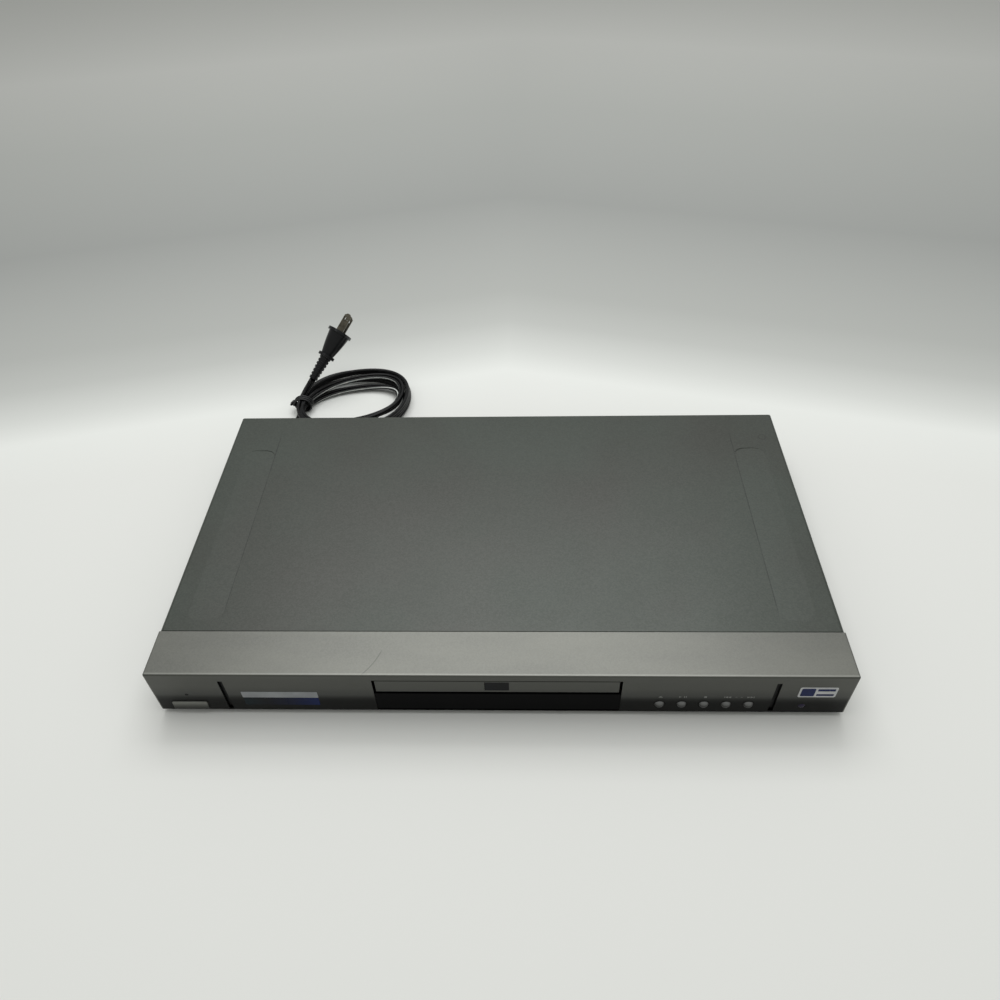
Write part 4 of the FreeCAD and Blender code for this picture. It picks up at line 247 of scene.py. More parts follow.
def coil_point(travelled):
    """A control point after so many turns, which start at the left and go round by the far side."""
    turn = min(int(travelled), len(turns) - 2)
    share = travelled - turn
    x, depth, half_width, half_depth, slant = [
        before + (after - before) * share for before, after in zip(turns[turn], turns[turn + 1])]
    across = -half_width * rounded_power(math.cos(2 * math.pi * share))
    along = half_depth * rounded_power(math.sin(2 * math.pi * share))
    climb = min(max((travelled - climb_starts) / climb_takes, 0.0), 1.0)
    return x + across, depth + along + slant * across, low_layer + (high_layer - low_layer) * climb


coil_turns = 4.75
coil_points = int(coil_turns * points_a_turn) + 1
coil_route = [coil_point(number / points_a_turn) for number in range(coil_points)]
route = [place(*point) for point in lead_route + coil_route + tail_route]
print("lead:", len(route), "points,", len(coil_route), "of them in the coil")

# %% [markdown]
# A NURBS curve of order 3 rounds the route smoothly, as a soft lead does by itself. The cable's section is
# swept along that curve's own points. The tilt says which way its flat side faces: a lead that was wound
# by hand turns over slowly as it goes round, so its tilt is a slow wave, and where the tie squeezes it the
# cable stands on its edge. The pale line of painted highlight lies on the shoulder of the first core, and
# the tilt turns it into view or out of it.

# %% The smooth line and the section
def nurbs_line(name, points):
    """The points of one smooth open NURBS curve that has the route as its control points."""
    curve = bpy.data.curves.new(name, "CURVE")
    curve.dimensions = "3D"
    spline = curve.splines.new("NURBS")
    spline.points.add(len(points) - 1)
    for control, point in zip(spline.points, points):
        control.co = (*point, 1.0)
    spline.order_u = 3
    spline.use_endpoint_u = True
    spline.resolution_u = 6
    holder = bpy.data.objects.new(name, curve)
    bpy.context.scene.collection.objects.link(holder)
    depsgraph = bpy.context.evaluated_depsgraph_get()
    mesh = bpy.data.meshes.new_from_object(holder.evaluated_get(depsgraph))
    line = [vertex.co.copy() for vertex in mesh.vertices]
    bpy.data.objects.remove(holder)
    bpy.data.meshes.remove(mesh)
    return line


def two_core_section():
    """The outline of two cores side by side; its first face is the pale line of painted highlight."""
    offset = lead_width / 2 - core_radius
    groove = math.acos(-offset / core_radius)
    highlight_start, highlight_end = math.radians(17), math.radians(53)
    rises = (highlight_start, highlight_end, 0.56 * groove, 0.78 * groove, groove)
    angles = list(rises) + [2 * math.pi - rise for rise in reversed(rises)]
    first = [(offset + core_radius * math.cos(angle), core_radius * math.sin(angle)) for angle in angles]
    second = [(-across, -up) for across, up in first]
    return first[:5] + second[5:] + second[:5] + first[5:]


def swept_section(name, line, outline, tilts):
    """A closed tube of a given outline (in mm) along a line, its sideways kept level before the tilt."""
    vertices, faces = [], []
    count = len(outline)
    for index, point in enumerate(line):
        ahead, behind = line[min(index + 1, len(line) - 1)], line[max(index - 1, 0)]
        way = (ahead - behind).normalized()
        side = way.cross(Vector((0, 0, 1))).normalized()
        upward = side.cross(way)
        tilt = tilts[index]
        wide = side * math.cos(tilt) + upward * math.sin(tilt)
        thick = upward * math.cos(tilt) - side * math.sin(tilt)
        vertices += [point + (wide * across + thick * up) * mm for across, up in outline]
    for index in range(len(line) - 1):
        for corner in range(count):
            after = (corner + 1) % count
            start, end = index * count, (index + 1) * count
            faces.append((start + corner, start + after, end + after, end + corner))
    faces.append(tuple(range(count - 1, -1, -1)))
    faces.append(tuple(len(vertices) - count + corner for corner in range(count)))
    mesh = bpy.data.meshes.new(name)
    mesh.from_pydata(vertices, [], faces)
    thing = bpy.data.objects.new(name, mesh)
    bpy.context.scene.collection.objects.link(thing)
    for polygon in mesh.polygons:
        polygon.use_smooth = True
    return thing


lead_path = nurbs_line("lead_line", route)

# %% [markdown]
# The vinyl is PVC made soft with oils, extruded over the cores. Fresh from the die it has a low, even
# gloss with faint long waves. The thin light line along the first core's crown is painted highlight: PVC
# of a pale colour, laid into the same surface.

# %% Vinyl of the lead
vinyl = grained_finish("soft_black_pvc", "#050607", 0.4, 0.0, ("#030304", "#07080a", 9.0), (1.6, 0.05),
                       IOR=1.53, Specular_IOR_Level=0.24)
# Painted highlight: the pale line stands for the light caught along a core's crown.
highlight_line_vinyl = grained_finish("painted_highlight_line_pvc", "#a9adab", 0.4, 0.0, ("#a9aeab", "#cfd2cf", 4.0), IOR=1.53)
print("lead's vinyl ready")

# %% The lead itself
# The tilts also decide where the painted highlight line faces into view.
turn_over = [-58, -110, -100, -95, -80, -95, -80, -75, -80, -16,
             48, -20, -75, -14, -25, -70, -88, -100, -95, -70]


def lead_tilt(control):
    """The tilt at a control point, read off one angle for each quarter turn of the coil."""
    quarter = (control - len(lead_route)) / (points_a_turn / 4)
    last_quarter = len(turn_over) - 1.001
    quarter = min(max(quarter, 0.0), last_quarter)
    before = int(quarter)
    share = quarter - before
    share = share * share * (3 - 2 * share)
    return math.radians(turn_over[before] + (turn_over[before + 1] - turn_over[before]) * share)


controls_on_line = [index * (len(route) - 1) / (len(lead_path) - 1) for index in range(len(lead_path))]
lead_tilts = [lead_tilt(control) for control in controls_on_line]
section = two_core_section()
mains_lead = swept_section("mains_lead", lead_path, section, lead_tilts)
mains_lead.data.materials.append(vinyl)
mains_lead.data.materials.append(highlight_line_vinyl)
# The faces that make the painted highlight line take the pale vinyl.
highlight_face = 0
for polygon in mains_lead.data.polygons[:(len(lead_path) - 1) * len(section)]:
    if polygon.index % len(section) == highlight_face:
        polygon.material_index = 1
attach(mains_lead, "chassis")
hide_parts("lead_run", "lead_coil", "lead_tail")
print("lead ends at", [round(v, 3) for v in lead_path[-1]])

# %% [markdown]
# ## The tie
# A twist of vinyl-coated wire holds the loops where they run close together: three wraps, each a little
# askew, and the two ends twisted round each other and bent aside. A formula gives each wrap as an oval
# that drifts along the bundle, so the wraps lie beside each other and don't cut. The wire's vinyl is a
# little greyer and duller than the lead's.

# %% Wire tie round the bundle
wire_radius = 0.9
bundle_x, bundle_depth, bundle_z = -183.2, 309.0, 7.9
bundle_half_x, bundle_half_z = 8.0, 6.8
wrap_count, wrap_pitch, wrap_points = 3, 2.3, 12
end_reach, end_points, twist_radius = 2.6, 9, 0.95


def wrap_point(number):
    """A point on the wraps, with a slow wobble so that no two wraps are alike."""
    angle = 2 * math.pi * number / wrap_points
    wobble = 1.0 + 0.04 * math.sin(1.7 * angle)
    askew = 0.7 * math.sin(angle + 0.6)
    depth = bundle_depth + wrap_pitch * (number / wrap_points - wrap_count / 2) + askew
    return (bundle_x - bundle_half_x * wobble * math.cos(angle), depth,
            bundle_z + bundle_half_z * math.sin(angle))


def twisted_end(phase):
    """One of the two ends, twisted round each other on the way out to the left and down."""
    points = []
    for number in range(end_points):
        share = number / (end_points - 1)
        angle = phase + share * 2.0 * math.pi
        x = bundle_x - bundle_half_x - 0.4 - end_reach * share
        depth = bundle_depth + 1.5 - end_reach * share
        z = bundle_z + 1.2 - 1.6 * share * share
        points.append((x, depth + twist_radius * math.cos(angle), z + twist_radius * math.sin(angle)))
    return points


def round_outline(radius, count=10):
    """Points round a circle."""
    return [(radius * math.cos(2 * math.pi * corner / count), radius * math.sin(2 * math.pi * corner / count))
            for corner in range(count)]


tie_runs = {
    "tie_wraps": [wrap_point(number) for number in range(wrap_count * wrap_points + 1)],
    "tie_end_a": twisted_end(0.0),
    "tie_end_b": twisted_end(math.pi),
}
tie_parts = []
for name, points in tie_runs.items():
    line = nurbs_line(name, [place(*point) for point in points])
    tie_parts.append(swept_section(name, line, round_outline(wire_radius), [0.0] * len(line)))
wire_tie = tie_parts[0]
shape = bmesh.new()
for part in tie_parts:
    shape.from_mesh(part.data)
shape.to_mesh(wire_tie.data)
shape.free()
for part in tie_parts[1:]:
    bpy.data.objects.remove(part)
wire_tie.name = "wire_tie"
tie_vinyl = grained_finish("vinyl_coated_wire", "#0d0e10", 0.5, 0.0, ("#090a0b", "#15171a", 3.0), (0.8, 0.04),
                           IOR=1.53)
wire_tie.data.materials.append(tie_vinyl)
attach(wire_tie, "chassis")
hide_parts("lead_tie")
print("tie has", len(wire_tie.data.vertices), "points")

# %% [markdown]
# ## Floor, room and light
# The player stands on a plain pale sheet whose colour carries painted light: it is pale near the player,
# with a faint painted highlight just behind it, then darkens softly further back and to the sides as
# painted shade where the room's light falls off, and lightens again far away. The light is soft and
# even, as under ceiling panels: most of it comes from the room itself, and two large panels above and
# behind add a gentle sheen to the top. Together they light a white card on the floor to about white, so
# each finish shows in the colour that it was given. The sheet throws back less light than its own paint
# would, because the front has to stay as dark below as it is on a shelf.

# %% The pale floor
def seen_share(owner):
    """1 for what is seen straight, mirrored or through glass, and 0 for the light that it scatters."""
    ray = add_node(owner, "ShaderNodeLightPath").outputs
    seen = add_node(owner, "ShaderNodeMath", links={0: ray["Is Camera Ray"], 1: ray["Is Glossy Ray"]},
                    operation="MAXIMUM")
    return add_node(owner, "ShaderNodeMath", links={0: seen.outputs[0], 1: ray["Is Transmission Ray"]},
                    operation="MAXIMUM").outputs[0]


reach = 6.0
floor_mesh = bpy.data.meshes.new("floor")
floor_mesh.from_pydata([(-reach, -reach, 0), (reach, -reach, 0), (reach, reach, 0), (-reach, reach, 0)], [],
                       [(0, 1, 2, 3)])
floor = bpy.data.objects.new("floor", floor_mesh)
bpy.context.scene.collection.objects.link(floor)
floor_paint, floor_shader = new_finish("pale_paper", "#dcddda", 0.9, Specular_IOR_Level=0.1)
bend_of_bands = 0.25
far_reach = 1.3
to_side = add_node(floor_paint, "ShaderNodeMath", links={0: coordinate(floor_paint, "X")},
                   operation="ABSOLUTE")
bent = add_node(floor_paint, "ShaderNodeMath", {1: bend_of_bands}, {0: to_side.outputs[0]},
                operation="MULTIPLY")
backwards = add_node(floor_paint, "ShaderNodeMath",
                     links={0: coordinate(floor_paint, "Y"), 1: bent.outputs[0]}, operation="ADD")
share_out = add_node(floor_paint, "ShaderNodeMath", {1: 1 / far_reach}, {0: backwards.outputs[0]},
                     operation="MULTIPLY")
# Painted light: a faint highlight just behind the player, painted shade further back, lighter far away.
tones = [(0.0, "#e1e2df"), (0.18, "#e1e2df"), (0.245, "#e4e6e3"), (0.28, "#d2d4d1"), (0.33, "#bcbebb"),
         (0.39, "#afb1ae"), (0.62, "#9c9e9c"), (0.95, "#adafac"), (far_reach, "#c3c4c1")]
fade = add_node(floor_paint, "ShaderNodeValToRGB", links={"Fac": share_out.outputs[0]})
painted_falloff_colour = set_tones(fade, [(distance / far_reach, code) for distance, code in tones])
blend(floor_paint, seen_share(floor_paint), linear("#8c8d8a"), painted_falloff_colour, floor_shader)
floor_mesh.materials.append(floor_paint)
print("floor spans", 2 * reach, "m")

# %% The room and the lamps
world = bpy.data.worlds.new("room")
bpy.context.scene.world = world
world.use_nodes = True
backdrop = world.node_tree.nodes["Background"]
room_colour = blend(world, seen_share(world), linear("#b6b7b4"), linear("#a9aaa8"))
world.node_tree.links.new(room_colour, backdrop.inputs["Color"])
backdrop.inputs["Strength"].default_value = 1.0


def soft_box(name, centre, width, depth, power):
    """A rectangular lamp that faces the middle of the player."""
    lamp_data = bpy.data.lights.new(name, "AREA")
    lamp_data.shape = "RECTANGLE"
    lamp_data.size, lamp_data.size_y = width, depth
    lamp_data.energy = power
    lamp = bpy.data.objects.new(name, lamp_data)
    lamp.location = centre
    towards = Vector((0, 0, 0.04)) - Vector(centre)
    lamp.rotation_euler = towards.to_track_quat("-Z", "Y").to_euler()
    bpy.context.scene.collection.objects.link(lamp)


soft_box("ceiling_panel", (0.0, 0.1, 1.5), 1.6, 1.2, 10.0)
soft_box("back_panel", (-0.03, 0.78, 1.28), 1.15, 0.6, 6.6)
bpy.context.scene.view_settings.view_transform = "Standard"

# %% [markdown]
# ## The painted steel hood
# The hood is cold rolled sheet, coated in the coil before it was pressed: a metallic grey paint with a
# trace of green, fine aluminium flakes and a satin top coat. Flakes are about 0.1 mm, too fine for the
# picture, so they are drawn at 0.9 mm. Under them lie the slow waves of a roller coat and the haze that
# years of dust and wiping leave, which changes the gloss more than the colour. Along the creases of the
# two pressed side panels runs a thin dark line of painted shade, broken into patches, and a drop has
# dried to a small ring near one corner.

# %% Marks on a finish
def off_ring(material, centre_x, centre_depth, radius):
    """How far a point of the top lies from a circle, in metres."""
    flat = add_node(material, "ShaderNodeVectorMath", {1: (1.0, 1.0, 0.0)}, {0: object_place(material)},
                    operation="MULTIPLY")
    away = add_node(material, "ShaderNodeVectorMath", {1: place(centre_x, centre_depth, 0.0)},
                    {0: flat.outputs[0]}, operation="DISTANCE")
    past = add_node(material, "ShaderNodeMath", {1: radius * mm}, {0: away.outputs["Value"]},
                    operation="SUBTRACT")
    return add_node(material, "ShaderNodeMath", links={0: past.outputs[0]}, operation="ABSOLUTE").outputs[0]


def between_depths(material, start, full, edge, end):
    """1 between two distances behind the front face, with a soft start and a soft end."""
    depth = coordinate(material, "Y")
    after_start = step(material, depth, front_y + start * mm, front_y + full * mm)
    before_end = step(material, depth, front_y + end * mm, front_y + edge * mm)
    return add_node(material, "ShaderNodeMath", links={0: after_start, 1: before_end},
                    operation="MULTIPLY").outputs[0]


print("marks ready")

# %% Metallic coil coating of the hood
crease_x = 177.0
crease_depths = (42.0, 60.0, 214.0, 226.0)  # it starts, is full, begins to fade and ends
drop_x, drop_depth, drop_radius = 201.6, 217.6, 2.7
hood_flake_size, hood_flake_strength, drop_strength = 0.9, 0.06, 0.55
hood_paint, hood_shader = new_finish("metallic_coil_coating", "#393c37", 0.38, 0.25, IOR=1.5)
hood_colour = mottle(hood_paint, hood_shader, "#373934", "#393f39", 110.0)
to_side = add_node(hood_paint, "ShaderNodeMath", links={0: coordinate(hood_paint, "X")},
                   operation="ABSOLUTE")
past_crease = add_node(hood_paint, "ShaderNodeMath", {1: crease_x * mm}, {0: to_side.outputs[0]},
                       operation="SUBTRACT")
off_crease = add_node(hood_paint, "ShaderNodeMath", links={0: past_crease.outputs[0]}, operation="ABSOLUTE")
on_crease = step(hood_paint, off_crease.outputs[0], 0.6 * mm, 0.2 * mm)
# Painted shade: a thin dark line along each crease, broken into patches by noise.
crease_shade = add_node(hood_paint, "ShaderNodeMath",
                links={0: between_depths(hood_paint, *crease_depths), 1: on_crease}, operation="MULTIPLY")
crease_shade_patches = add_node(hood_paint, "ShaderNodeMapRange",
                     {"From Min": 0.3, "From Max": 0.6, "To Min": 0.25, "To Max": 0.75},
                     {"Value": lumps(hood_paint, 16.0)})
crease_shade = add_node(hood_paint, "ShaderNodeMath", links={0: crease_shade.outputs[0], 1: crease_shade_patches.outputs["Result"]},
                operation="MULTIPLY")
hood_colour = blend(hood_paint, crease_shade.outputs[0], hood_colour, linear("#181a17"))
dried_drop = step(hood_paint, off_ring(hood_paint, drop_x, drop_depth, drop_radius), 0.9 * mm, 0.2 * mm)
drop_share = add_node(hood_paint, "ShaderNodeMath", {1: drop_strength}, {0: dried_drop}, operation="MULTIPLY")
hood_colour = blend(hood_paint, drop_share.outputs[0], hood_colour, linear("#22231f"))
flakes = cell_values(hood_paint, hood_flake_size)[0]
flake_share = add_node(hood_paint, "ShaderNodeMath", {1: hood_flake_strength}, {0: flakes},
                       operation="MULTIPLY")
blend(hood_paint, flake_share.outputs[0], hood_colour, linear("#8b8f88"), hood_shader)
gloss = add_node(hood_paint, "ShaderNodeMapRange",
                 {"From Min": 0.3, "From Max": 0.7, "To Min": 0.34, "To Max": 0.41},
                 {"Value": lumps(hood_paint, 60.0, 5.0)})
hood_paint.node_tree.links.new(gloss.outputs["Result"], hood_shader.inputs["Roughness"])
roughen(hood_paint, hood_shader, 2.4, 0.006)
print("hood paint has", len(hood_paint.node_tree.nodes), "nodes")

# %% [markdown]
# ## The lacquered front
# The front is moulded in black ABS and sprayed with a fine silver lacquer, which has smaller flakes than
# the hood and a harder shine. Its flakes, about 0.03 mm, are drawn at 0.7 mm. Its top is the light band
# along the front, and a painted highlight lightens the band's rounded front edge. The face below the edge
# is painted darker as painted shade, which falls off to nearly black at its foot; the tray's door shares
# it, so the two read as one surface when the tray is in. The grooves, the gaps and the inside are near
# black: inside, that is the bare black plastic, and in the grooves and gaps it is painted shade. The flat
# sides below the band are painted a little darker than the band, as painted shade. So the finish is
# chosen by the depth and the height on the part. One curved scratch, left by a ring or a watch, crosses
# the top a third of the way along.

# %% Silver lacquer: the light band on top
lacquer, lacquer_shader = new_finish("silver_lacquer_on_abs", "#8a8b85", 0.36, 0.45, IOR=1.5,
                                     Specular_IOR_Level=0.4)
across, depth, height = [coordinate(lacquer, axis) for axis in "XYZ"]
scratch_x, scratch_depth, scratch_radius = -113.0, 31.3, 44.0
scratch_left, scratch_end_depth = -100.0, 20.0
flake_size, flake_strength, scratch_strength, edge_highlight_strength = 0.7, 0.08, 0.45, 0.4
band_colour = mottle(lacquer, lacquer_shader, "#676863", "#6e6f69", 30.0, (0.25, 1.0, 1.0))
flakes = cell_values(lacquer, flake_size)[0]
flake_share = add_node(lacquer, "ShaderNodeMath", {1: flake_strength}, {0: flakes}, operation="MULTIPLY")
band_colour = blend(lacquer, flake_share.outputs[0], band_colour, linear("#a2a39e"))
scratch = step(lacquer, off_ring(lacquer, scratch_x, scratch_depth, scratch_radius), 0.45 * mm, 0.15 * mm)
scratch_end = step(lacquer, depth, front_y + scratch_end_depth * mm, front_y + (scratch_end_depth - 4) * mm)
scratch_side = step(lacquer, across, scratch_left * mm, (scratch_left + 5) * mm)
scratch = add_node(lacquer, "ShaderNodeMath", links={0: scratch, 1: scratch_end}, operation="MULTIPLY")
scratch = add_node(lacquer, "ShaderNodeMath", links={0: scratch.outputs[0], 1: scratch_side},
                   operation="MULTIPLY")
scratch = add_node(lacquer, "ShaderNodeMath", {1: scratch_strength}, {0: scratch.outputs[0]},
                   operation="MULTIPLY")
band_colour = blend(lacquer, scratch.outputs[0], band_colour, linear("#3c3d3a"))
# Painted highlight: the band is painted lighter along its rounded front edge.
edge_highlight = step(lacquer, depth, front_y + 2.2 * mm, front_y + 1.4 * mm)
edge_highlight = add_node(lacquer, "ShaderNodeMath", {1: edge_highlight_strength}, {0: edge_highlight}, operation="MULTIPLY")
band_colour = blend(lacquer, edge_highlight.outputs[0], band_colour, linear("#9d9e98"))
print("band's scratch has a radius of", scratch_radius, "mm")

# %% Silver lacquer: the face's painted shade, and near black in its recesses
# Painted shade: the face, and the door with it, darkens from its top to nearly black at its foot.
face_foot, face_top = 4.0, 43.0
face_shade_tones = [(face_foot, "#050604"), (12.0, "#050604"), (15.5, "#0b0c0a"), (18.5, "#1c1d1a"),
              (22.0, "#424340"), (30.0, "#51524d"), (face_top, "#52534e")]
tones_by_share = [((level - face_foot) / (face_top - face_foot), code) for level, code in face_shade_tones]
share_of_face = add_node(lacquer, "ShaderNodeMapRange",
                         {"From Min": face_foot * mm, "From Max": face_top * mm}, {"Value": height})
up_the_face = add_node(lacquer, "ShaderNodeValToRGB", links={"Fac": share_of_face.outputs["Result"]})
shaded_face_colour = set_tones(up_the_face, tones_by_share)
face_to_band = step(lacquer, height, 42.84 * mm, 42.98 * mm)
outside = blend(lacquer, face_to_band, shaded_face_colour, band_colour)
to_side = add_node(lacquer, "ShaderNodeMath", links={0: across}, operation="ABSOLUTE")
side_wall = step(lacquer, to_side.outputs[0], 213.4 * mm, 214.0 * mm)
# Near black deeper than 0.25 mm behind the face: the bare plastic inside, painted shade in grooves and gaps.
below_band = step(lacquer, height, 41.2 * mm, 40.6 * mm)
behind_face = step(lacquer, depth, front_y + 0.05 * mm, front_y + 0.25 * mm)
inside = add_node(lacquer, "ShaderNodeMath", links={0: behind_face, 1: below_band}, operation="MULTIPLY")
off_side_wall = add_node(lacquer, "ShaderNodeMath", {0: 1.0}, {1: side_wall}, operation="SUBTRACT")
black_and_recess_shade = add_node(lacquer, "ShaderNodeMath", links={0: inside.outputs[0], 1: off_side_wall.outputs[0]},
                     operation="MULTIPLY")
# Painted shade: the flat sides below the band are a darker copy of the band's lacquer.
shaded_side_colour = blend(lacquer, side_wall, outside, linear("#5d5e59"))
outside = blend(lacquer, below_band, outside, shaded_side_colour)
blend(lacquer, black_and_recess_shade.outputs[0], outside, linear("#060606"), lacquer_shader)
# Where the face is painted dark it turns nearly all metallic, so the painted shade shows almost no
# reflection.
low_down = step(lacquer, height, 22.5 * mm, 14.5 * mm)
on_face = step(lacquer, depth, front_y + 3.0 * mm, front_y + 2.0 * mm)
painted_foot_shade = add_node(lacquer, "ShaderNodeMath", links={0: low_down, 1: on_face}, operation="MULTIPLY")
dark = add_node(lacquer, "ShaderNodeMath", links={0: painted_foot_shade.outputs[0], 1: black_and_recess_shade.outputs[0]},
                operation="MAXIMUM")
metal_share = add_node(lacquer, "ShaderNodeMapRange", {"To Min": 0.45, "To Max": 0.97},
                       {"Value": dark.outputs[0]})
lacquer.node_tree.links.new(metal_share.outputs["Result"], lacquer_shader.inputs["Metallic"])
roughen(lacquer, lacquer_shader, 1.8, 0.004)
print("lacquer has", len(lacquer.node_tree.nodes), "nodes")

# %% [markdown]
# ## The window, the lamps and the keys
# Below the door runs a pane of smoked acrylic, cast clear and dyed so dark that the display behind it
# shows only when it is lit. The display is a flat glass tube, dark with a trace of green. The remote
# control's lens is dyed polycarbonate that passes only infra-red, so it looks deep violet. The lamp
# beside the power key hides behind a smoke-tinted lens, and only the laser's own lens is clear. A dyed
# pane needs little more than a near black colour, a low roughness and a faint unevenness, because no
# light comes through it.

# %% Clear and dyed plastics
smoked_acrylic = grained_finish("smoked_acrylic", "#060708", 0.12, 0.0, ("#030304", "#060607", 24.0),
                                (14.0, 0.004), IOR=1.49, Specular_IOR_Level=0.03)
display_tube = grained_finish("display_tube_glass", "#0c1614", 0.08, 0.0, ("#0a1311", "#122320", 5.0),
                              (20.0, 0.003), IOR=1.52)
clear_polycarbonate = grained_finish("clear_polycarbonate", "#3a3f42", 0.18, 0.0, ("#34393c", "#454b4f", 2.0),
                                     IOR=1.58, Transmission_Weight=0.5)
smoked_polycarbonate = grained_finish("smoked_polycarbonate", "#0a0b0c", 0.25, 0.0,
                                      ("#070809", "#0e0f11", 1.0), IOR=1.58, Specular_IOR_Level=0.1)
infrared_polycarbonate = grained_finish("infrared_pass_polycarbonate", "#171226", 0.15, 0.0,
                                        ("#120e1e", "#241b3a", 2.5), IOR=1.58, Specular_IOR_Level=0.2)
print("dyed plastics ready")

# %% [markdown]
# The keys are ABS with a grey metallic paint, and their gloss is low because fingers have rubbed it. Like
# the face, they carry painted shade: the top of each one is painted light, as lit from above, and its
# foot is painted dark. The wide power key takes more of the silver than the small round ones.

# %% Painted keys
def key_finish(name, colour, roughness, metallic, patches, shaded_below, lit_above, light, grain, **sockets):
    """Key paint: painted shade at the foot, in dark patches, and a painted lit top, between heights in mm."""
    paint, shader = new_finish(name, colour, roughness, metallic, **sockets)
    fade = step(paint, coordinate(paint, "Z"), shaded_below * mm, lit_above * mm)
    blend(paint, fade, mottle(paint, shader, *patches), linear(light), shader)
    roughen(paint, shader, *grain)
    return paint


# Painted shade and painted highlight: each key is painted dark at its foot and light at its top.
key_paint = key_finish("grey_key_lacquer", "#5a5c5e", 0.38, 0.3, ("#1f201f", "#292a29", 1.6), 13.0, 15.8,
                       "#7c7d7c", (0.6, 0.006), IOR=1.5, Coat_Weight=0.2, Coat_Roughness=0.3)
power_key_paint = key_finish("silver_key_lacquer", "#5c5d58", 0.36, 0.5,
                             ("#2c2d29", "#363731", 3.0, (0.3, 1.0, 1.0)), 7.5, 13.5, "#7e7f79",
                             (0.9, 0.006), IOR=1.5)
print("key paints ready")

# %% [markdown]
# ## Stickers, printed signs and the plate on the door
# The stickers are film in plain printed colours, stuck on the lacquer: silver polyester with a soft
# sheen, and white vinyl. The door's plate is polished black film. The signs over the keys are
# screen-printed in pale ink: triangles, bars and a square that every player of this kind uses. Both could
# be painted by a material, but thin shapes of their own keep sharp edges. A sticker is a rounded plate
# 0.12 mm thick, and the ink of the signs is 0.02 mm. The blue fields of the corner sticker are a film of
# their own, 0.1 mm thick, 0.02 mm in front of the white one. The door's small black plate is 0.1 mm thick
# too, and 0.1 mm of adhesive lies behind it.

# %% Flat shapes on the face
def rounded_outline(left, right, bottom, top, radius, corner_steps=5):
    """Points round a rectangle with rounded corners, in x and z."""
    points = []
    for middle_x, middle_z, start in ((right - radius, top - radius, 0), (left + radius, top - radius, 90),
                                      (left + radius, bottom + radius, 180),
                                      (right - radius, bottom + radius, 270)):
        for count in range(corner_steps + 1):
            angle = math.radians(start + 90 * count / corner_steps)
            points.append((middle_x + radius * math.cos(angle), middle_z + radius * math.sin(angle)))
    return points


def box_outline(left, right, bottom, top):
    """The corners of a rectangle, in x and z."""
    return [(left, bottom), (right, bottom), (right, top), (left, top)]


def face_shapes(name, outlines, depths, finishes):
    """Plates between two depths behind the front face: each outline is (x and z points, material number)."""
    vertices, faces, numbers = [], [], []
    for points, number in outlines:
        start, count = len(vertices), len(points)
        for depth in depths:
            vertices += [place(x, depth, z) for x, z in points]
        faces.append(tuple(start + corner for corner in range(count)))
        faces.append(tuple(start + count + corner for corner in reversed(range(count))))
        for corner in range(count):
            after = (corner + 1) % count
            faces.append((start + corner, start + count + corner, start + count + after, start + after))
        numbers += [number] * (count + 2)
    mesh = bpy.data.meshes.new(name)
    mesh.from_pydata(vertices, [], faces)
    for polygon, number in zip(mesh.polygons, numbers):
        polygon.material_index = number
    shape = bmesh.new()
    shape.from_mesh(mesh)
    bmesh.ops.recalc_face_normals(shape, faces=shape.faces)
    shape.to_mesh(mesh)
    shape.free()
    for finish in finishes:
        mesh.materials.append(finish)
    thing = bpy.data.objects.new(name, mesh)
    bpy.context.scene.collection.objects.link(thing)
    return thing


print("flat shapes ready")

# %% Sticker finishes
sticker_left, sticker_right = -158.8, -111.3
silver_film = grained_finish("silver_polyester_film", "#9b9ea2", 0.3, 0.4, ("#94979b", "#a3a6aa", 8.0),
                             (5.0, 0.01), IOR=1.5)
navy_film, shader = new_finish("navy_printed_film", "#14203c", 0.25, IOR=1.5, Specular_IOR_Level=0.1)
along_film = add_node(navy_film, "ShaderNodeMapRange",
                      {"From Min": sticker_left * mm, "From Max": sticker_right * mm},
                      {"Value": coordinate(navy_film, "X")})
film_fade = add_node(navy_film, "ShaderNodeValToRGB", links={"Fac": along_film.outputs["Result"]})
film_print = set_tones(film_fade, [(0.0, "#0c1f26"), (0.3, "#080a12"), (0.65, "#0a1434"), (1.0, "#0d2158")])
navy_film.node_tree.links.new(film_print, shader.inputs["Base Color"])
roughen(navy_film, shader, 5.0, 0.01)
white_film = grained_finish("white_vinyl_film", "#d5d6d8", 0.35, 0.0, ("#cfd0d2", "#dadbdc", 6.0),
                            (4.0, 0.01), IOR=1.5)
blue_ink = grained_finish("blue_printing_ink", "#1c2b62", 0.35, 0.0, ("#101c48", "#16245a", 4.0), (4.0, 0.01),
                          IOR=1.5, Specular_IOR_Level=0.15)
pale_ink = grained_finish("pale_screen_ink", "#8a8b88", 0.55, 0.0, ("#80817e", "#949592", 1.2), (1.0, 0.01),
                          IOR=1.5)
plate_film = grained_finish("black_polished_plate", "#1a1d20", 0.2, 0.0, ("#090a0c", "#0f1114", 6.0),
                            (6.0, 0.005), IOR=1.5, Specular_IOR_Level=0.1)
print("films and inks ready")

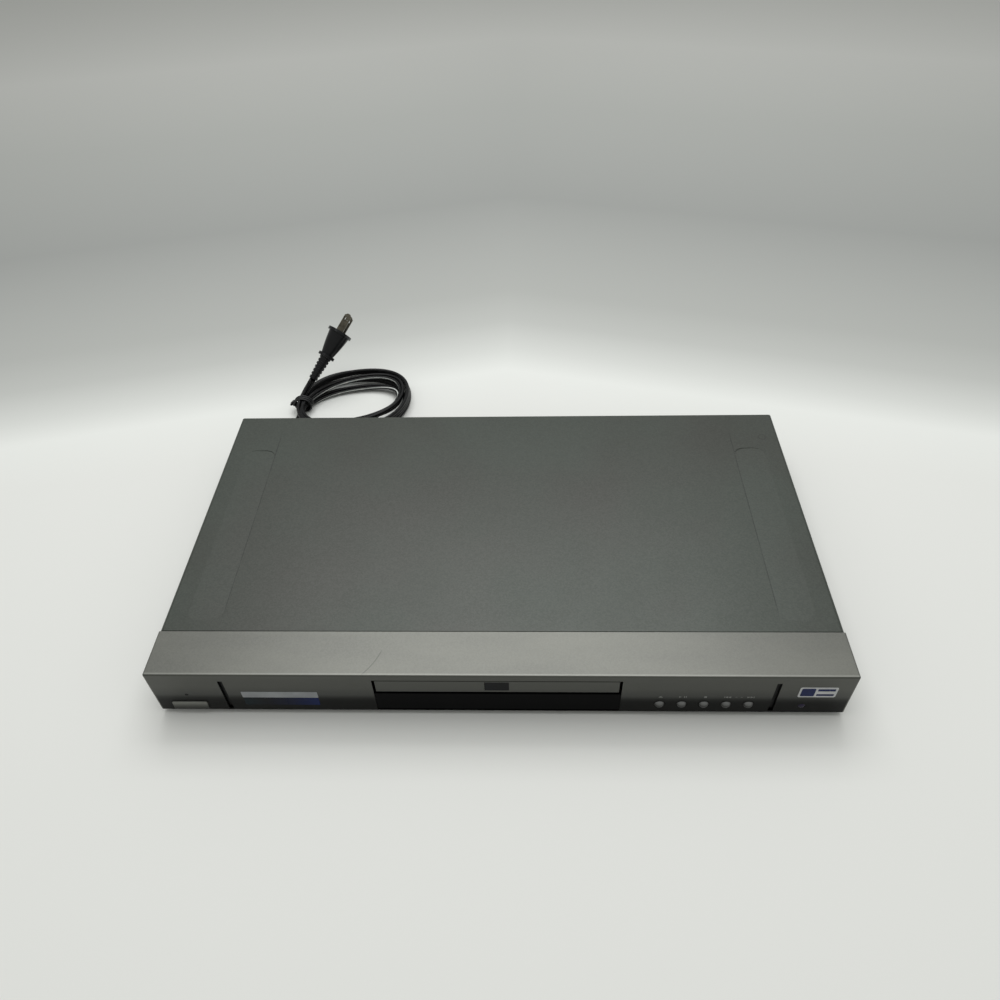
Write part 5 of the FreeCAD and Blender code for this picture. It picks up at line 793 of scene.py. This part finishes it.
# %% The stickers and the plate
film_depths = (-0.12, 0.0)
print_depths = (-0.14, -0.24)
plate_depths = (0.1, 0.2)
ink_depths = (-0.02, 0.0)
feature_sticker = face_shapes("feature_sticker", [
    (rounded_outline(sticker_left, sticker_right, 18.7, 25.0, 0.5), 0),
    (rounded_outline(sticker_left + 0.2, sticker_right - 0.2, 10.3, 18.6, 0.4), 1),
], film_depths, [silver_film, navy_film])
corner_sticker = face_shapes("corner_sticker", [
    (rounded_outline(182.2, 204.8, 21.9, 32.5, 1.2), 0),
], film_depths, [white_film])
sticker_print = face_shapes("corner_sticker_print", [
    (rounded_outline(183.4, 191.6, 23.2, 31.3, 0.8), 0),
    (rounded_outline(193.0, 203.4, 28.6, 30.8, 0.3), 0),
    (rounded_outline(193.0, 203.4, 23.6, 25.4, 0.3), 0),
], print_depths, [blue_ink])
door_plate = face_shapes("door_plate", [
    (rounded_outline(-7.2, 7.7, 28.0, 36.8, 0.5), 0),
], plate_depths, [plate_film])
for sticker in (feature_sticker, corner_sticker, sticker_print):
    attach(sticker, "chassis")
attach(door_plate, "tray")
print("stickers:", [sticker.name for sticker in (feature_sticker, corner_sticker, sticker_print, door_plate)])

# %% The signs over the keys
sign_height = 1.7
sign_middle = 21.3
key_places = [100.0, 113.6, 127.2, 140.8, 154.4]


def triangle(left, tip, low, high):
    """A triangle that points along x from its flat side to its tip."""
    return [(left, low), (tip, (low + high) / 2), (left, high)]


def bar(left, width, low, high):
    """A standing or lying bar between two heights."""
    return box_outline(left, left + width, low, high)


low, high = sign_middle - sign_height / 2, sign_middle + sign_height / 2
eject, play, stop, back, onward = key_places
between_skips = (back + onward) / 2
signs = [
    [(eject - 1.2, low + 0.6), (eject + 1.2, low + 0.6), (eject, high)],
    bar(eject - 1.2, 2.4, low, low + 0.35),
    triangle(play - 2.4, play - 0.8, low, high),
    bar(play + 0.6, 0.5, low, high),
    bar(play + 1.7, 0.5, low, high),
    bar(stop - 0.8, 1.6, low, high),
    bar(back - 2.3, 0.4, low, high),
    triangle(back, back - 1.8, low, high),
    triangle(back + 1.9, back + 0.1, low, high),
    triangle(onward - 1.9, onward - 0.1, low, high),
    triangle(onward, onward + 1.8, low, high),
    bar(onward + 1.9, 0.4, low, high),
    bar(between_skips - 2.3, 1.2, sign_middle - 0.15, sign_middle + 0.15),
    bar(between_skips + 0.9, 1.2, sign_middle - 0.15, sign_middle + 0.15),
]
key_signs = face_shapes("key_signs", [(points, 0) for points in signs], ink_depths, [pale_ink])
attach(key_signs, "chassis")
print("signs:", len(signs), "shapes")

# %% [markdown]
# ## Metals
# The base, the clamp's bridge and the moving traverse are steel sheet, galvanised in a bath: the zinc
# freezes in flat crystals called spangle, about 8 mm across, each with its own shade. The screws, rods
# and motor cans are steel with a thin bright zinc plating. The jacks and the plug's blades are brass
# with nickel on it, which is a little warmer and dulls where plugs have rubbed. The heat sink and the
# pickup are aluminium with one fine dull grain. The cover's screws are blacked in a hot salt bath, which
# leaves them dark and satin, and the rear panel has a black powder coat, baked to a soft grain.

# %% Zinc, nickel and aluminium
galvanised, shader = new_finish("hot_dip_galvanised_steel", "#9c9fa0", 0.38, 1.0)
spangle = cell_values(galvanised, 8.0)
blend(galvanised, spangle[0], linear("#8a8d8e"), linear("#b0b3b3"), shader)
crystal_gloss = add_node(galvanised, "ShaderNodeMapRange", {"To Min": 0.3, "To Max": 0.5},
                         {"Value": spangle[1]})
galvanised.node_tree.links.new(crystal_gloss.outputs["Result"], shader.inputs["Roughness"])
zinc_plate = grained_finish("bright_zinc_plated_steel", "#b4b6b6", 0.28, 1.0, ("#a6a9aa", "#bfc1c0", 3.0),
                            (0.7, 0.005))
nickel_plate = grained_finish("nickel_plated_brass", "#b2aea4", 0.26, 1.0, ("#a5a095", "#bdb9b0", 2.5),
                              (0.8, 0.006))
dull_nickel = grained_finish("worn_nickel_on_brass", "#77725f", 0.34, 1.0, ("#48453c", "#635f54", 4.0),
                             (0.9, 0.01, (1.0, 0.3, 0.3)))
die_cast = grained_finish("pressure_cast_aluminium", "#8d8f90", 0.5, 1.0, ("#848687", "#989a9b", 2.0),
                          (0.6, 0.02))
blacked_steel = grained_finish("black_oxide_steel", "#1b1c1d", 0.38, 0.8, ("#161718", "#242627", 1.5),
                               (0.6, 0.006))
powder_coat = grained_finish("black_powder_coat", "#1d1e1f", 0.5, 0.0, ("#1a1b1c", "#222324", 12.0),
                             (1.1, 0.03), IOR=1.5)
print("metals ready")

# %% [markdown]
# ## Plastics and rubber inside
# Gears, the cam slider and the clamper are acetal, the white slippery plastic of small gears, milky and
# waxy. The white film of the ribbon to the front board looks so much like it that the two share one
# finish. The loader's frame is glass-filled polystyrene with a faint swirl. The tray is charcoal ABS from
# a spark-eroded mould, whose fine matt grain hides scratches; its pits are 0.15 mm and drawn at 0.8 mm.
# The belt and the bushes are chloroprene rubber with a bloom of wax. The feet, two sockets and the
# turntable are black ABS from a smooth mould, and the clamper's magnet is sintered ferrite, a grey
# ceramic that looks like dull metal.

# %% Moulded plastics
acetal = grained_finish("natural_acetal", "#cfcdc4", 0.35, 0.0, ("#c9c7bd", "#d6d4cb", 6.0), (1.5, 0.006),
                        IOR=1.48, Subsurface_Weight=0.1)
frame_plastic = grained_finish("glass_filled_polystyrene", "#232425", 0.5, 0.0,
                               ("#1f2021", "#2a2b2c", 10.0, (0.4, 1.0, 1.0)), (1.2, 0.02), IOR=1.59)
tray_plastic = grained_finish("spark_eroded_abs", "#1c1d1e", 0.55, 0.0, ("#191a1b", "#212223", 14.0),
                              (0.8, 0.03), IOR=1.54)
black_moulding = grained_finish("moulded_black_abs", "#151617", 0.42, 0.0, ("#121314", "#1a1b1c", 5.0),
                                (0.9, 0.015), IOR=1.54)
rubber = grained_finish("chloroprene_rubber", "#18191a", 0.72, 0.0, ("#151617", "#202122", 3.0), (0.7, 0.02),
                        IOR=1.52, Sheen_Weight=0.1)
ferrite = grained_finish("sintered_ferrite", "#3a3a3b", 0.5, 0.3, ("#343435", "#444445", 1.5), (0.5, 0.02))
print("plastics ready")

# %% [markdown]
# The plug and the bush are cast round the lead in the same soft PVC, but in a polished mould, so they
# shine more than the cable does.

# %% Moulded PVC of the plug
plug_vinyl = grained_finish("moulded_soft_pvc", "#060708", 0.28, 0.0, ("#040506", "#090a0c", 6.0),
                            (1.4, 0.03), IOR=1.53, Specular_IOR_Level=0.35)
print("plug vinyl ready")

# %% [markdown]
# The jacks stand in collars whose colour names the signal: green, blue and red for the three parts of the
# picture, yellow for the plain picture, white and red for sound, and orange for digital sound. The
# colour is in the plastic itself, so one material picks it by the place across the back.

# %% Coloured collars of the jacks
first_collar, last_collar = 30.0, 180.0
collar_colours = [(30.0, "#1f7a3a"), (47.0, "#25479c"), (61.0, "#b3272b"), (82.0, "#d7b82c"),
                  (107.0, "#d4d3cd"), (124.0, "#b3272b"), (150.0, "#cf6a1e")]
jack_plastic, shader = new_finish("coloured_jack_abs", "#c8c8c4", 0.35, IOR=1.54, Coat_Weight=0.1,
                                  Coat_Roughness=0.2)
collars_from_left = [((x - first_collar) / (last_collar - first_collar), code) for x, code in collar_colours]
across_back = add_node(jack_plastic, "ShaderNodeMapRange",
                       {"From Min": first_collar * mm, "From Max": last_collar * mm},
                       {"Value": coordinate(jack_plastic, "X")})
collars = add_node(jack_plastic, "ShaderNodeValToRGB", links={"Fac": across_back.outputs["Result"]})
collars.color_ramp.interpolation = "CONSTANT"
collar_colour = set_tones(collars, collars_from_left)
jack_shade = add_node(jack_plastic, "ShaderNodeMath", {1: 0.12}, {0: lumps(jack_plastic, 3.0)},
                      operation="MULTIPLY")
blend(jack_plastic, jack_shade.outputs[0], collar_colour, linear("#101010"), shader)
roughen(jack_plastic, shader, 0.9, 0.01)
print("collar colours:", len(collar_colours))

# %% [markdown]
# ## Boards and their parts
# The main board is glass cloth in epoxy under a green lacquer, with copper tracks that show as slightly
# raised lighter lines. The power board and the front board are paper in phenolic resin, the colour of
# caramel. The parts on them are mixed: black epoxy chips, dark blue capacitor sleeves, yellow film
# blocks. A pattern of cells 11 mm wide gives each of them one colour.

# %% Board finishes
green_board, shader = new_finish("green_lacquered_epoxy", "#1d4a2c", 0.3, IOR=1.5)
track_sizes = {"Scale": 1.0, "Brick Width": 9 * mm, "Row Height": 2.2 * mm, "Mortar Size": 0.35 * mm}
tracks = add_node(green_board, "ShaderNodeTexBrick", track_sizes, {"Vector": object_place(green_board)})
blend(green_board, tracks.outputs["Fac"], linear("#1b4629"), linear("#2f6b3f"), shader)
roughen(green_board, shader, 1.2, 0.01)
paper_board = grained_finish("phenolic_paper_board", "#9a6a35", 0.45, 0.0, ("#8d5f2e", "#a8763e", 7.0),
                             (1.0, 0.015), IOR=1.55)
mixed_parts, shader = new_finish("epoxy_and_sleeved_parts", "#1a1b1d", 0.35, IOR=1.55)
part_pick = add_node(mixed_parts, "ShaderNodeValToRGB", links={"Fac": cell_values(mixed_parts, 11.0)[0]})
part_pick.color_ramp.interpolation = "CONSTANT"
part_colour = set_tones(part_pick, [(0.0, "#1a1b1d"), (0.42, "#1b2440"), (0.7, "#2c2d30"), (0.88, "#b99a3a")])
mixed_parts.node_tree.links.new(part_colour, shader.inputs["Base Color"])
roughen(mixed_parts, shader, 1.4, 0.01)
print("boards ready")

# %% [markdown]
# ## Every part gets its finish
# A short list joins each finish to the parts made of it. A part that is missing from the list would stop
# the script here, which is safer than a grey part in the picture.

# %% Finishes on the parts
finished_parts = [
    (hood_paint, ["top_cover"]),
    (lacquer, ["front_panel", "tray_door"]),
    (smoked_acrylic, ["display_window"]),
    (display_tube, ["display_module"]),
    (smoked_polycarbonate, ["standby_lamp_lens"]),
    (clear_polycarbonate, ["lens_holder"]),
    (infrared_polycarbonate, ["remote_lens"]),
    (key_paint, ["round_button_" + str(number) for number in range(1, 6)]),
    (power_key_paint, ["power_button"]),
    (galvanised, ["chassis_base", "clamp_bridge", "traverse_plate"]),
    (powder_coat, ["rear_panel"]),
    (zinc_plate, ["loader_screws", "board_screws", "loading_motor", "guide_rods", "spindle_motor",
                  "sled_motor", "lead_screw"]),
    (nickel_plate, ["jack_barrels"]),
    (dull_nickel, ["plug_blades"]),
    (die_cast, ["heat_sink", "pickup_sled"]),
    (blacked_steel, ["cover_screws"]),
    (acetal, ["front_ribbon", "loading_gear", "pulley_gear", "motor_pulley", "cam_slider", "clamper"]),
    (frame_plastic, ["loader_frame"]),
    (tray_plastic, ["tray"]),
    (black_moulding, ["feet", "super_video_socket", "optical_socket", "turntable"]),
    (jack_plastic, ["jack_housings"]),
    (rubber, ["loading_belt", "traverse_bushes"]),
    (ferrite, ["clamp_magnet"]),
    (green_board, ["main_board"]),
    (paper_board, ["front_board", "power_board"]),
    (mixed_parts, ["front_board_parts", "main_board_parts", "power_board_parts", "power_transformer"]),
    (vinyl, ["lead_run", "lead_coil", "lead_tail"]),
    (plug_vinyl, ["lead_bush", "plug_body"]),
    (tie_vinyl, ["lead_tie"]),
]
waiting = set(nodes)
for finish, names in finished_parts:
    for name in names:
        nodes[name].data.materials.clear()
        nodes[name].data.materials.append(finish)
        waiting.remove(name)
assert not waiting, waiting
print("finished", len(nodes), "parts with", len(finished_parts), "finishes")
